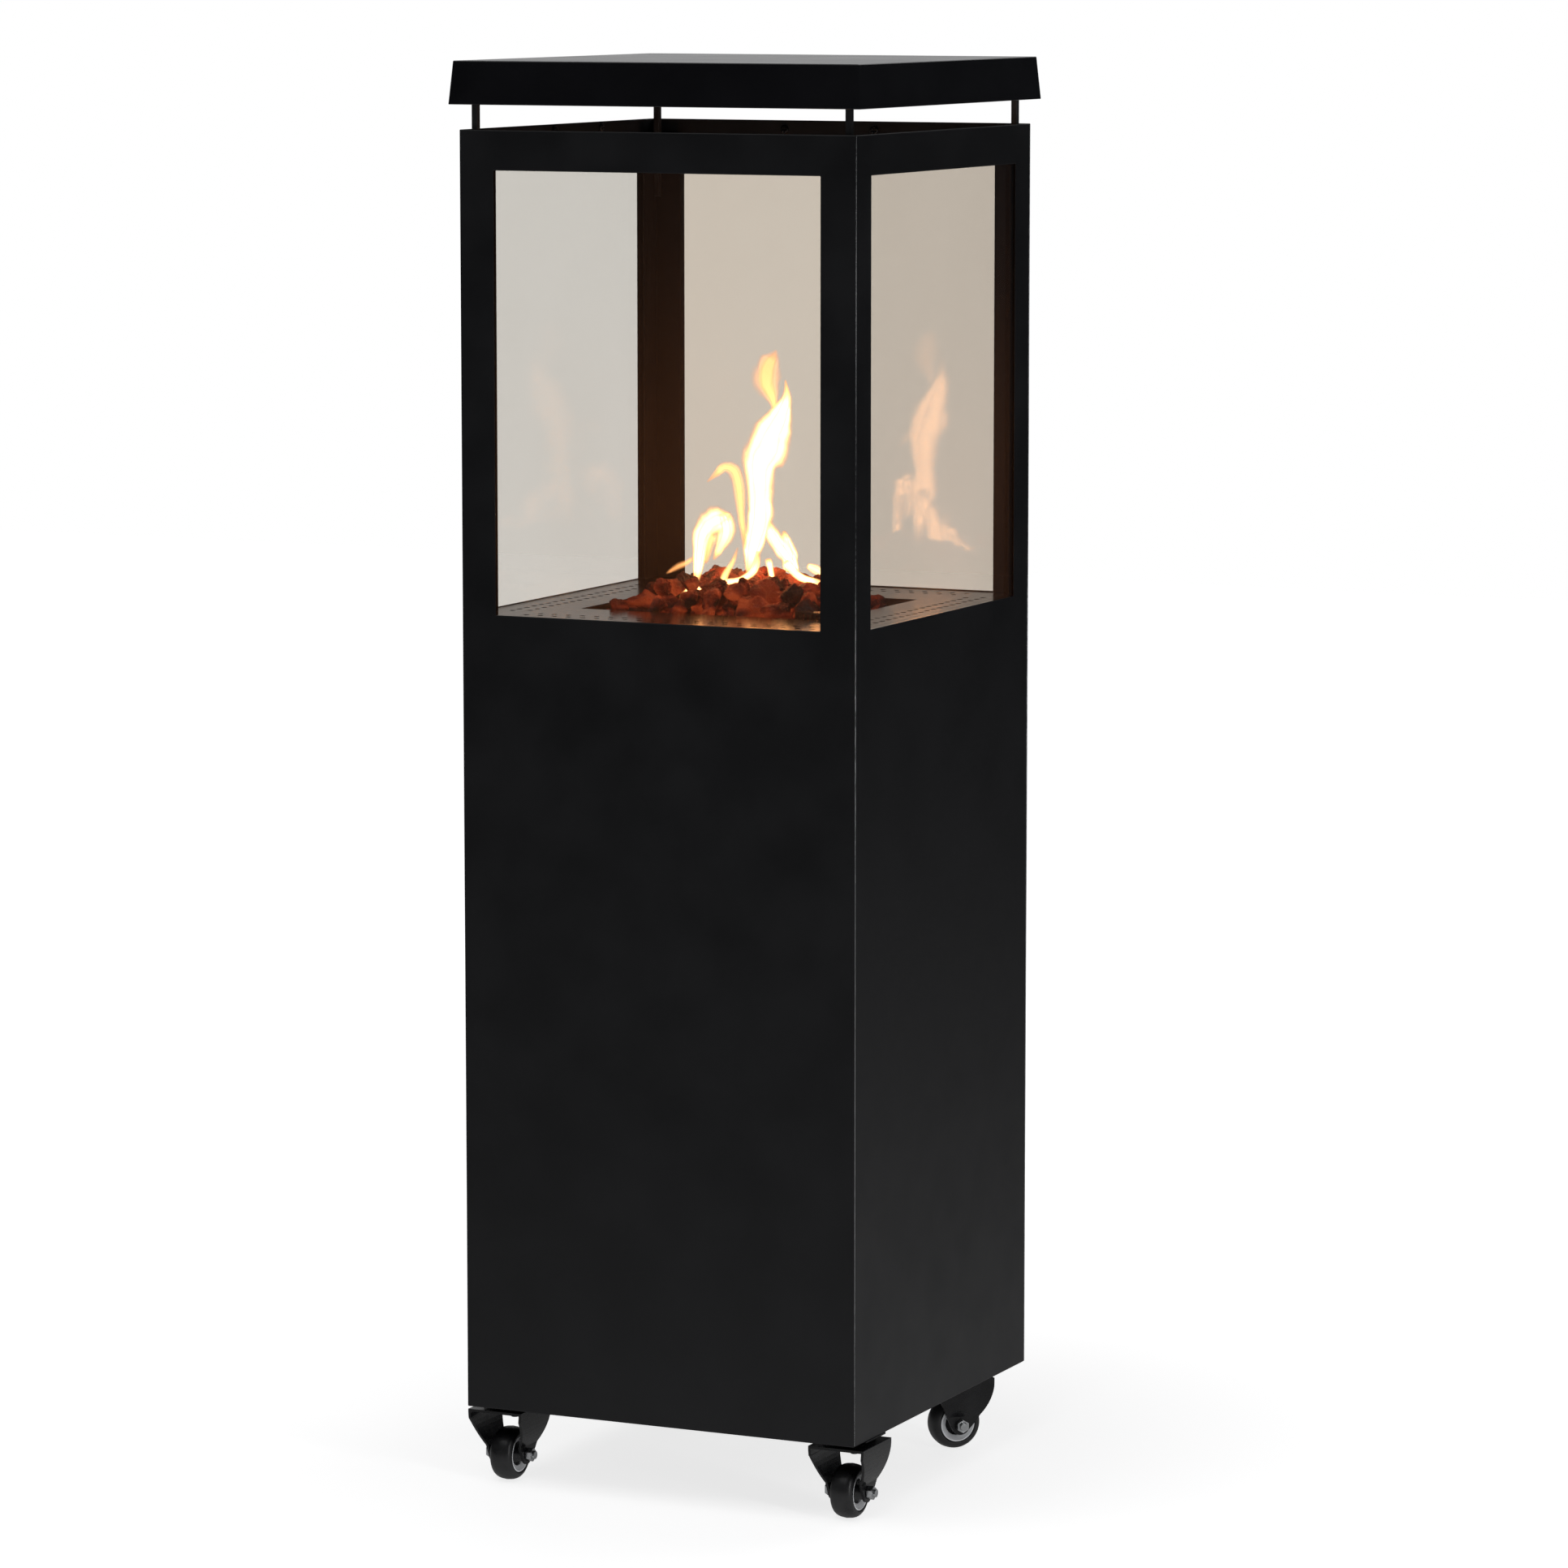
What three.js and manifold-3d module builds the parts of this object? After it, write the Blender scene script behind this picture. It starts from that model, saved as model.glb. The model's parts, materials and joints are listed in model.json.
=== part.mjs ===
// A square gas patio heater: a sheet-metal cabinet with a glazed fire chamber, a canopy on four
// thin posts, a lava-rock burner, a rear control bay, a bottle door and four swivel casters.
// Millimetres, +Z up. The origin is on the floor under the middle of the cabinet. The front wall
// faces -Y and the bottle door is in the rear wall, at +Y.
import * as THREE from "three";
import { mergeVertices } from "three/addons/utils/BufferGeometryUtils.js";
import Module from "manifold-3d";

const wasm = await Module();
wasm.setup();

// ---- Driving dimensions ----

const BODY_HALF = 200; // half the width of the square cabinet
const BODY_BOTTOM = 77; // the casters' overall height
const BODY_TOP = 1275;
const SHEET = 1.2; // thickness of the cabinet's sheet steel
const GAP = 0.3; // clearance between pieces that touch
const INNER_HALF = BODY_HALF - SHEET;

const SILL_Z = 828; // lower edge of the windows
const HEAD_Z = 1238; // upper edge of the windows
const STILE = 34.8; // wall left on each side of a window
const WINDOW_HALF = BODY_HALF - STILE;

const GLASS = 4; // pane thickness
const GLASS_HALF = 178;
const GLASS_TOP = 1250;
const LIP = 2; // channel lip behind a pane
const CHANNEL_TOP = 1262;

const CANOPY_BOTTOM = 1298;
const CANOPY_TOP = 1338;
const CANOPY_HALF = 207.6; // at the open lower edge
const CANOPY_TOP_HALF = 204.2;
const CANOPY_SHEET = 1.5;
const POST = 6; // side of a canopy post
const POST_CENTRE = 188.8;
const POST_BOTTOM = 1200;

const DECK_Z = 827; // top face of the deck
const PAN_HALF_X = 126; // half the deck opening
const PAN_HALF_Y = 104;
const PAN_FLOOR_Z = 780;
const PAN_FLANGE = 12;
const ROCK_BOTTOM = 806;
const ROCK_TOP = 851;
const PILOT_X = 106; // middle of the pilot burner, in the pan's front right corner
const PILOT_Y = -92;
const PILOT_HALF_X = 13;
const PILOT_HALF_Y = 7;
const PILOT_TOP = 833;

const RING_R = 62; // burner ring
const RING_TUBE_R = 7;
const RING_Z = 794;
const VENTURI_BOTTOM = 750;

const SHIELD_Z = 668; // heat shield over the bottle bay

const CUP_Z = 735; // middle of the rear control bay
const CUP_HALF_X = 75;
const CUP_HALF_Z = 40;
const CUP_DEPTH = 31;
const CUP_FLOOR_Y = BODY_HALF - CUP_DEPTH;
const KNOB_X = -30;
const KNOB_BACK_Y = 177;
const KNOB_FRONT_Y = 197;
const KNOB_R = 17;
const KNOB_SHAFT_R = 4;
const BUTTON_X = 40;
const BUTTON_R = 7;
const BUTTON_BACK_Y = 156;
const BUTTON_FRONT_Y = 180;
const VALVE_BACK_Y = 135;
const VALVE_HALF = 17;
const INLET_Y = 151;
const INLET_BOTTOM = 640;

const DOOR_HALF = 149.5;
const DOOR_BOTTOM = 122.5;
const DOOR_TOP = 647.5;
const DOOR_GAP = 2.5; // reveal all round the door
const DOOR_FLANGE = 9;
const PIVOT_X = -145; // axis of the door's pivots
const PIVOT_Y = 194;
const PIVOT_R = 2.5;
const LATCH_X = 125;
const LATCH_Z = 385;
const LATCH_STEM_R = 6;
const LATCH_CAM_Y = 182; // inner face of the latch's cam
const LATCH_CAM = 3; // its thickness
const STRIKE_Y = 187; // inner edge of the tab the cam turns behind

const WHEEL_R = 25.5;
const WHEEL_HALF = 11.3;
const HUB_R = 17.8;
const AXLE_R = 3.9;
const TRAIL = 10; // kingpin to axle, measured level
const FORK_HALF = 28; // half the fork head's width
const FORK_LEG_HALF = 18.5; // half the width over the legs at the axle
const FORK_SHEET = 2.5;
const FORK_TOP = 71.8;
const FORK_FRONT = 21; // reach of the fork's head ahead of the kingpin
const FORK_BACK = -42; // and behind it, over the wheel
const LEG_END_R = 9.5;
const HUB_HALF = FORK_LEG_HALF - FORK_SHEET - 0.4;
const PLATE_HALF = 22; // half the side of a caster's mounting plate
const PLATE_SHEET = 2.6;
const KINGPIN_BOTTOM = 58.5;
const AXLE_SEAT_TOP = 34; // the legs are flat and upright up to here, for the axle bolt's head
// Kingpin places and the way each fork points at rest, in degrees about +Z. At 0 it trails to -Y.
const CASTERS = [
  { name: "front_right", x: 177, y: -148, turn: 0 },
  { name: "front_left", x: -177, y: -148, turn: 0 },
  { name: "rear_right", x: 159, y: 145, turn: -43 },
  { name: "rear_left", x: -159, y: 145, turn: 35 },
];

// ---- Solid helpers ----

function solid(geometry) {
  const bare = geometry.clone();
  bare.deleteAttribute("normal");
  bare.deleteAttribute("uv");
  const merged = mergeVertices(bare, 1e-4);
  return new wasm.Manifold(
    new wasm.Mesh({
      numProp: 3,
      vertProperties: merged.attributes.position.array,
      triVerts: new Uint32Array(merged.index.array),
    }),
  );
}

function geometryOf(manifold) {
  const mesh = manifold.getMesh();
  const geometry = new THREE.BufferGeometry();
  geometry.setAttribute("position", new THREE.BufferAttribute(mesh.vertProperties, 3));
  geometry.setIndex(new THREE.BufferAttribute(mesh.triVerts, 1));
  geometry.computeVertexNormals();
  return geometry;
}

function joined(...geometries) {
  return geometryOf(geometries.map(solid).reduce((a, b) => a.add(b)));
}

function cut(geometry, ...tools) {
  return geometryOf(tools.map(solid).reduce((a, b) => a.subtract(b), solid(geometry)));
}

function common(a, b) {
  return geometryOf(solid(a).intersect(solid(b)));
}

// A box from its lowest to its highest corner.
function box(x0, x1, y0, y1, z0, z1) {
  const geometry = new THREE.BoxGeometry(x1 - x0, y1 - y0, z1 - z0);
  return geometry.translate((x0 + x1) / 2, (y0 + y1) / 2, (z0 + z1) / 2);
}

function squareBox(half, z0, z1) {
  return box(-half, half, -half, half, z0, z1);
}

// A cylinder along Z.
function rod(r, z0, z1, x = 0, y = 0, sides = 20) {
  const geometry = new THREE.CylinderGeometry(r, r, z1 - z0, sides).rotateX(Math.PI / 2);
  return geometry.translate(x, y, (z0 + z1) / 2);
}

// A cylinder along Y.
function rodY(r, y0, y1, x, z, sides = 20) {
  const geometry = new THREE.CylinderGeometry(r, r, y1 - y0, sides);
  return geometry.translate(x, (y0 + y1) / 2, z);
}

// A cylinder along X.
function rodX(r, x0, x1, y, z, sides = 20) {
  const geometry = new THREE.CylinderGeometry(r, r, x1 - x0, sides).rotateZ(Math.PI / 2);
  return geometry.translate((x0 + x1) / 2, y, z);
}

// A closed profile of [radius, height] points turned about Z.
function turned(points, segments = 24) {
  const profile = points.map(([r, z]) => new THREE.Vector2(r, z));
  return new THREE.LatheGeometry(profile, segments).rotateX(Math.PI / 2);
}

function outline(points) {
  return new THREE.Shape(points.map(([x, y]) => new THREE.Vector2(x, y)));
}

function extruded(shape, depth, curveSegments = 8) {
  return new THREE.ExtrudeGeometry(shape, { depth, bevelEnabled: false, curveSegments });
}

// A shape drawn in x and z, pushed through from y0 to y1.
function extrudedY(shape, y0, y1, curveSegments = 8) {
  return extruded(shape, y1 - y0, curveSegments).rotateX(Math.PI / 2).translate(0, y1, 0);
}

// A slot with round ends, as an outline centred on x and z.
function stadium(x, z, halfX, halfZ) {
  const shape = new THREE.Shape();
  const straight = halfX - halfZ;
  shape.moveTo(x - straight, z - halfZ);
  shape.lineTo(x + straight, z - halfZ);
  shape.absarc(x + straight, z, halfZ, -Math.PI / 2, Math.PI / 2, false);
  shape.lineTo(x - straight, z + halfZ);
  shape.absarc(x - straight, z, halfZ, Math.PI / 2, (3 * Math.PI) / 2, false);
  return shape;
}

function tube(points, r, sides = 8, steps = 24) {
  const path = new THREE.CatmullRomCurve3(points.map((p) => new THREE.Vector3(...p)));
  const section = new THREE.Shape();
  section.absarc(0, 0, r, 0, 2 * Math.PI, false);
  const options = { steps, extrudePath: path, curveSegments: sides / 2, bevelEnabled: false };
  return new THREE.ExtrudeGeometry(section, options);
}

// An open tray: a box of the given half sizes with its inside taken away.
function tray(halfX, halfY, z0, z1, wall, openUp) {
  const whole = box(-halfX, halfX, -halfY, halfY, z0, z1);
  const low = openUp ? z0 + wall : z0 - 1;
  const high = openUp ? z1 + 1 : z1 - wall;
  const inside = box(-halfX + wall, halfX - wall, -halfY + wall, halfY - wall, low, high);
  return cut(whole, inside);
}

// ---- Materials and the group ----

const heater = new THREE.Group();

function finish(color, roughness, metalness) {
  return new THREE.MeshStandardMaterial({ color, roughness, metalness });
}

const blackCoat = finish(0x1b1b1e, 0.55, 0.3);
const canopyCoat = finish(0x2a2a2c, 0.35, 0.5);
const stainless = finish(0x8f8c88, 0.35, 0.9);
const sootySteel = finish(0x3c3a39, 0.6, 0.7);
const zinc = finish(0xc4c6c8, 0.3, 0.9);
const brass = finish(0xb08d4a, 0.35, 0.9);
const copper = finish(0xb87048, 0.4, 0.9);
const lava = finish(0x5b3d38, 0.95, 0);
const clearGlass = finish(0xc8c4bb, 0.05, 0);
clearGlass.transparent = true;
clearGlass.opacity = 0.3;
const blackPlastic = finish(0x161616, 0.45, 0);
const blackRubber = finish(0x1e1e20, 0.6, 0);
const greyPlastic = finish(0xb9bcbf, 0.45, 0);
const ceramic = finish(0xe6e2d8, 0.4, 0);

function add(name, geometry, material, parent = heater) {
  const mesh = new THREE.Mesh(geometry, material);
  mesh.name = name;
  parent.add(mesh);
  return mesh;
}

// ---- Cabinet walls ----

// One wall with its window, in the front wall's place. The side walls stop at the front and
// rear walls' inner faces.
function wallShape(half) {
  const shape = outline([
    [-half, BODY_BOTTOM],
    [half, BODY_BOTTOM],
    [half, BODY_TOP],
    [-half, BODY_TOP],
  ]);
  shape.holes.push(
    outline([
      [-WINDOW_HALF, SILL_Z],
      [WINDOW_HALF, SILL_Z],
      [WINDOW_HALF, HEAD_Z],
      [-WINDOW_HALF, HEAD_Z],
    ]),
  );
  return shape;
}

function frontWall() {
  return extrudedY(wallShape(BODY_HALF), -BODY_HALF, -INNER_HALF);
}

function sideWall(turn) {
  const half = INNER_HALF - GAP;
  return extrudedY(wallShape(half), -BODY_HALF, -INNER_HALF).rotateZ(turn);
}

// The rear wall adds the control bay's hole, the door opening and the latch's strike tab.
function rearWall() {
  const shape = wallShape(BODY_HALF);
  shape.holes.push(stadium(0, CUP_Z, CUP_HALF_X + GAP, CUP_HALF_Z + GAP));
  const side = DOOR_HALF + DOOR_GAP;
  const low = DOOR_BOTTOM - DOOR_GAP;
  const high = DOOR_TOP + DOOR_GAP;
  shape.holes.push(
    outline([
      [-side, low],
      [side, low],
      [side, high],
      [-side, high],
    ]),
  );
  const sheet = extrudedY(shape, INNER_HALF, BODY_HALF);
  const strikeFront = INNER_HALF + SHEET / 2;
  const strike = box(side + 2, side + 9, STRIKE_Y, strikeFront, LATCH_Z - 15, LATCH_Z + 15);
  return joined(sheet, strike);
}

add("front_panel", frontWall(), blackCoat);
add("right_panel", sideWall(Math.PI / 2), blackCoat);
add("left_panel", sideWall(-Math.PI / 2), blackCoat);
add("rear_panel", rearWall(), blackCoat);

// ---- Floor, heat shield and deck ----

const TRAY_HALF = INNER_HALF - 0.4;

function basePlate() {
  const floor = tray(TRAY_HALF, TRAY_HALF, BODY_BOTTOM, BODY_BOTTOM + 25, SHEET, true);
  const ventPitch = 24;
  const vents = [];
  for (let i = -2; i <= 2; i += 1) {
    const y = i * ventPitch;
    vents.push(box(-60, 60, y - 4, y + 4, BODY_BOTTOM - 1, BODY_BOTTOM + 3));
  }
  return cut(floor, ...vents);
}

function heatShield() {
  const plate = tray(TRAY_HALF, TRAY_HALF, SHIELD_Z, SHIELD_Z + 15, SHEET, true);
  const inletHole = rod(15, SHIELD_Z - 1, SHIELD_Z + 4, KNOB_X, INLET_Y);
  return cut(plate, inletHole);
}

function deckPlate() {
  const plate = tray(TRAY_HALF, TRAY_HALF, DECK_Z - 20, DECK_Z, SHEET, false);
  const hole = box(-PAN_HALF_X, PAN_HALF_X, -PAN_HALF_Y, PAN_HALF_Y, DECK_Z - 4, DECK_Z + 1);
  return cut(plate, hole);
}

add("base_plate", basePlate(), blackCoat);
add("heat_shield", heatShield(), stainless);
add("deck_plate", deckPlate(), stainless);

// ---- Glazing ----

const WALL_TURNS = [
  ["front", 0],
  ["right", Math.PI / 2],
  ["rear", Math.PI],
  ["left", -Math.PI / 2],
];
const GLAZING_FACE = INNER_HALF - GAP; // outer face of the panes and of the channels

for (const [side, turn] of WALL_TURNS) {
  const inner = -GLAZING_FACE + GLASS;
  const pane = box(-GLASS_HALF, GLASS_HALF, -GLAZING_FACE, inner, DECK_Z + GAP, GLASS_TOP);
  add(`glass_${side}`, pane.rotateZ(turn), clearGlass);
}

// A corner channel: an angle whose lips pass behind the edges of two panes. It is drawn with its
// outer corner at 0, 0 and its legs along +X and +Y.
function glassChannel() {
  const edge = GLAZING_FACE - GLASS_HALF - GAP; // where a pane's edge begins
  const lipFace = GLASS + GAP;
  const back = lipFace + LIP;
  const reach = edge + 12;
  const section = outline([
    [0, 0],
    [edge, 0],
    [edge, lipFace],
    [reach, lipFace],
    [reach, back],
    [back, back],
    [back, reach],
    [lipFace, reach],
    [lipFace, edge],
    [0, edge],
  ]);
  const bar = extruded(section, CHANNEL_TOP - DECK_Z - GAP);
  return bar.translate(-GLAZING_FACE, -GLAZING_FACE, DECK_Z + GAP);
}

for (let i = 0; i < 4; i += 1) {
  add(`glass_channel_${i + 1}`, glassChannel().rotateZ((i * Math.PI) / 2), blackCoat);
}

// ---- Canopy and posts ----

// A square block whose half size changes from bottom to top.
function taperedBlock(halfBottom, halfTop, z0, z1) {
  const geometry = box(-1, 1, -1, 1, z0, z1);
  const position = geometry.attributes.position;
  for (let i = 0; i < position.count; i += 1) {
    const half = position.getZ(i) < (z0 + z1) / 2 ? halfBottom : halfTop;
    position.setX(i, position.getX(i) * half);
    position.setY(i, position.getY(i) * half);
  }
  return geometry;
}

function canopy() {
  const outside = taperedBlock(CANOPY_HALF, CANOPY_TOP_HALF, CANOPY_BOTTOM, CANOPY_TOP);
  const flare = (CANOPY_HALF - CANOPY_TOP_HALF) / (CANOPY_TOP - CANOPY_BOTTOM);
  const low = CANOPY_BOTTOM - 1;
  const high = CANOPY_TOP - CANOPY_SHEET;
  const lowHalf = CANOPY_HALF - CANOPY_SHEET + flare;
  const highHalf = CANOPY_TOP_HALF - CANOPY_SHEET + flare * CANOPY_SHEET;
  return cut(outside, taperedBlock(lowHalf, highHalf, low, high));
}

add("canopy", canopy(), canopyCoat);
for (let i = 0; i < 4; i += 1) {
  const near = POST_CENTRE - POST / 2;
  const far = POST_CENTRE + POST / 2;
  const bar = box(near, far, near, far, POST_BOTTOM, CANOPY_TOP - CANOPY_SHEET - GAP);
  add(`canopy_post_${i + 1}`, bar.rotateZ((i * Math.PI) / 2), stainless);
}

// ---- Burner ----

function burnerPan() {
  const clearance = GAP + SHEET;
  const halfX = PAN_HALF_X - GAP;
  const halfY = PAN_HALF_Y - GAP;
  const rimTop = DECK_Z - SHEET - GAP;
  const tub = box(-halfX, halfX, -halfY, halfY, PAN_FLOOR_Z, DECK_Z - 0.5);
  const flangeX = halfX + PAN_FLANGE;
  const flangeY = halfY + PAN_FLANGE;
  const flange = box(-flangeX, flangeX, -flangeY, flangeY, rimTop - SHEET, rimTop);
  const insideX = PAN_HALF_X - clearance;
  const insideY = PAN_HALF_Y - clearance;
  const inside = box(-insideX, insideX, -insideY, insideY, PAN_FLOOR_Z + SHEET, DECK_Z + 1);
  const mixerHole = rod(12, PAN_FLOOR_Z - 1, PAN_FLOOR_Z + 3);
  return cut(joined(tub, flange), inside, mixerHole);
}

// The ring, its cross tube and the mixing tube that drops through the pan's floor.
function burnerRing() {
  const ring = new THREE.TorusGeometry(RING_R, RING_TUBE_R, 8, 24).translate(0, 0, RING_Z);
  const cross = rodX(RING_TUBE_R - 1, -RING_R, RING_R, 0, RING_Z, 12);
  const mixer = rod(9.5, VENTURI_BOTTOM, RING_Z, 0, 0, 16);
  const throat = rod(6, VENTURI_BOTTOM - 1, RING_Z - 8, 0, 0, 16);
  return cut(joined(ring, cross, mixer), throat);
}

// The heap of lava rock over the ring: a low mound with a lumpy surface, thin at its edges.
function rockBed() {
  const columns = 12;
  const rows = 10;
  const halfX = PAN_HALF_X - 4;
  const halfY = PAN_HALF_Y - 4;
  const shape = outline([
    [-halfX, -halfY],
    [halfX, -halfY],
    [halfX, halfY],
    [-halfX, halfY],
  ]);
  const flat = extruded(shape, ROCK_TOP - ROCK_BOTTOM).translate(0, 0, ROCK_BOTTOM);
  const positions = [];
  const swell = (t) => Math.pow(Math.max(0, 1 - Math.pow(Math.abs(t), 2.6)), 0.6);
  const height = (u, v) => {
    const lumps = 3 * Math.sin(9.5 * u + 2) * Math.cos(8.3 * v + 1);
    const mound = swell(u) * swell(v) * (ROCK_TOP - ROCK_BOTTOM - 12);
    return ROCK_BOTTOM + 8 + mound + lumps;
  };
  const grid = (i, j) => {
    const u = (2 * i) / columns - 1;
    const v = (2 * j) / rows - 1;
    return [u * halfX * 1.01, v * halfY * 1.01, height(u, v)];
  };
  const above = (p) => [p[0], p[1], ROCK_TOP + 20];
  const face = (a, b, c) => positions.push(...a, ...b, ...c);
  for (let i = 0; i < columns; i += 1) {
    for (let j = 0; j < rows; j += 1) {
      const a = grid(i, j);
      const b = grid(i + 1, j);
      const c = grid(i + 1, j + 1);
      const d = grid(i, j + 1);
      face(a, c, b);
      face(a, d, c);
      face(above(a), above(b), above(c));
      face(above(a), above(c), above(d));
    }
  }
  for (let i = 0; i < columns; i += 1) {
    for (const [j, flip] of [[0, false], [rows, true]]) {
      const a = grid(i + (flip ? 1 : 0), j);
      const b = grid(i + (flip ? 0 : 1), j);
      face(a, b, above(b));
      face(a, above(b), above(a));
    }
  }
  for (let j = 0; j < rows; j += 1) {
    for (const [i, flip] of [[columns, false], [0, true]]) {
      const a = grid(i, j + (flip ? 1 : 0));
      const b = grid(i, j + (flip ? 0 : 1));
      face(a, b, above(b));
      face(a, above(b), above(a));
    }
  }
  const air = new THREE.BufferGeometry();
  air.setAttribute("position", new THREE.Float32BufferAttribute(positions, 3));
  const room = 5; // left clear round the pilot
  const pocketX = PILOT_HALF_X + room;
  const pocketBack = PILOT_Y + PILOT_HALF_Y + room;
  const pocket = box(
    PILOT_X - pocketX,
    PILOT_X + pocketX,
    -PAN_HALF_Y,
    pocketBack,
    ROCK_BOTTOM - 1,
    ROCK_TOP + 30,
  );
  return cut(flat, air, pocket);
}

const PILOT_BOTTOM = PAN_FLOOR_Z + SHEET + 0.4;

function pilotHood() {
  const left = PILOT_X - PILOT_HALF_X;
  const right = PILOT_X + PILOT_HALF_X;
  const front = PILOT_Y - PILOT_HALF_Y;
  const back = PILOT_Y + PILOT_HALF_Y;
  const shell = box(left, right, front, back, PILOT_BOTTOM, PILOT_TOP);
  const hollow = box(left + 1, right - 1, front + 1, back + 1, PAN_FLOOR_Z, PILOT_TOP - 1);
  const slits = [];
  const slitPitch = 4.6;
  for (let i = -2; i <= 2; i += 1) {
    const x = PILOT_X + i * slitPitch;
    slits.push(box(x - 1, x + 1, front - 1, front + 5, PILOT_TOP - 7, PILOT_TOP - 2));
  }
  return cut(shell, hollow, ...slits);
}

add("burner_pan", burnerPan(), sootySteel);
add("burner_ring", burnerRing(), stainless);
add("lava_rock_bed", rockBed(), lava);
add("pilot_hood", pilotHood(), stainless);
add("thermocouple", rod(2, PILOT_BOTTOM, PILOT_TOP - 7, PILOT_X - 6, PILOT_Y, 12), copper);
add("ignition_electrode", rod(2.6, PILOT_BOTTOM, PILOT_TOP - 9, PILOT_X + 6, PILOT_Y, 12), ceramic);

// ---- Gas train ----

const VALVE_FRONT_Y = CUP_FLOOR_Y - SHEET - GAP;
const JET_BOTTOM = VENTURI_BOTTOM - 12;

function gasJet() {
  const hex = rod(8, JET_BOTTOM, VENTURI_BOTTOM - GAP, 0, 0, 6);
  const nozzle = rod(4, VENTURI_BOTTOM - 2, VENTURI_BOTTOM + 10, 0, 0, 12);
  const bore = rod(1.5, VENTURI_BOTTOM, VENTURI_BOTTOM + 11, 0, 0, 8);
  return cut(joined(hex, nozzle), bore);
}

function gasPipe() {
  const top = JET_BOTTOM - GAP;
  const end = VALVE_BACK_Y - GAP;
  return tube(
    [
      [0, 0, top],
      [0, 0, top - 12],
      [-2, 14, top - 24],
      [-10, 50, top - 26],
      [-24, 96, top - 14],
      [KNOB_X, end - 12, CUP_Z],
      [KNOB_X, end, CUP_Z],
    ],
    4,
  );
}

function valveBody() {
  const x0 = KNOB_X - VALVE_HALF;
  const x1 = KNOB_X + VALVE_HALF;
  const z0 = CUP_Z - VALVE_HALF;
  const z1 = CUP_Z + VALVE_HALF;
  const block = box(x0, x1, VALVE_BACK_Y, VALVE_FRONT_Y, z0, z1);
  const bore = rodY(KNOB_SHAFT_R + 1.2, VALVE_FRONT_Y - 14, VALVE_FRONT_Y + 1, KNOB_X, CUP_Z);
  return cut(block, bore);
}

function hoseInlet() {
  const top = CUP_Z - VALVE_HALF - GAP;
  const stem = rod(5, INLET_BOTTOM + 12, top, KNOB_X, INLET_Y, 16);
  const hex = rod(10, top - 14, top - 4, KNOB_X, INLET_Y, 6);
  const thread = rod(8, INLET_BOTTOM, INLET_BOTTOM + 16, KNOB_X, INLET_Y, 20);
  return joined(stem, hex, thread);
}

add("gas_jet", gasJet(), brass);
add("gas_pipe", gasPipe(), copper);
add("valve_body", valveBody(), brass);
add("hose_inlet", hoseInlet(), brass);

// ---- Rear control bay ----

const CUP_FRONT = BODY_HALF + 1.7; // outer face of the cup's trim flange
const CUP_FLANGE = 6;

function controlCup() {
  const grown = (extra) => stadium(0, CUP_Z, CUP_HALF_X + extra, CUP_HALF_Z + extra);
  const tub = extrudedY(grown(0), CUP_FLOOR_Y - SHEET, CUP_FRONT);
  const flange = extrudedY(grown(CUP_FLANGE), BODY_HALF + GAP, CUP_FRONT);
  const inside = extrudedY(grown(-SHEET), CUP_FLOOR_Y, CUP_FRONT + 1);
  const low = CUP_FLOOR_Y - 3;
  const high = CUP_FLOOR_Y + 3;
  const spindleHole = rodY(KNOB_SHAFT_R + 2, low, high, KNOB_X, CUP_Z);
  const igniterHole = rodY(BUTTON_R + 2.5, low, high, BUTTON_X, CUP_Z);
  return cut(joined(tub, flange), inside, spindleHole, igniterHole);
}

function ringY(outer, inner, y0, y1, x) {
  const disc = rodY(outer, y0, y1, x, CUP_Z);
  return cut(disc, rodY(inner, y0 - 1, y1 + 1, x, CUP_Z));
}

// The knob, its raised grip and its shaft, which runs through the collar into the valve.
function controlKnob() {
  const back = KNOB_BACK_Y;
  const front = KNOB_FRONT_Y;
  const gripHalf = KNOB_R + 1;
  const skirt = rodY(KNOB_R + 4, back, back + 6, KNOB_X, CUP_Z, 32);
  const body = rodY(KNOB_R, back + 5, front - 4, KNOB_X, CUP_Z, 28);
  const grip = box(KNOB_X - 4.5, KNOB_X + 4.5, back + 8, front, CUP_Z - gripHalf, CUP_Z + gripHalf);
  const shaft = rodY(KNOB_SHAFT_R, VALVE_FRONT_Y - 8, back + 1, KNOB_X, CUP_Z, 16);
  return joined(skirt, body, grip, shaft);
}

function piezoIgniter() {
  const back = BUTTON_BACK_Y - 44;
  const barrel = rodY(12, back, VALVE_FRONT_Y, BUTTON_X, CUP_Z);
  const neck = rodY(BUTTON_R + 2.2, VALVE_FRONT_Y - 1, CUP_FLOOR_Y + 4, BUTTON_X, CUP_Z);
  const bore = rodY(BUTTON_R + 0.4, BUTTON_BACK_Y - 8, CUP_FLOOR_Y + 5, BUTTON_X, CUP_Z);
  return cut(joined(barrel, neck), bore);
}

function igniterButton() {
  const button = turned(
    [
      [0, BUTTON_BACK_Y],
      [BUTTON_R, BUTTON_BACK_Y],
      [BUTTON_R, BUTTON_FRONT_Y - 2],
      [BUTTON_R - 1.5, BUTTON_FRONT_Y - 0.4],
      [0, BUTTON_FRONT_Y],
    ],
    20,
  );
  return button.rotateX(-Math.PI / 2).translate(BUTTON_X, 0, CUP_Z);
}

add("control_cup", controlCup(), stainless);
const collar = ringY(9, KNOB_SHAFT_R + GAP, KNOB_BACK_Y - 3, KNOB_BACK_Y - 0.4, KNOB_X);
add("push_collar", collar, zinc);
add("control_knob", controlKnob(), blackPlastic);
add("piezo_igniter", piezoIgniter(), blackPlastic);
add("igniter_button", igniterButton(), blackPlastic);

// ---- Rear door ----

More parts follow.
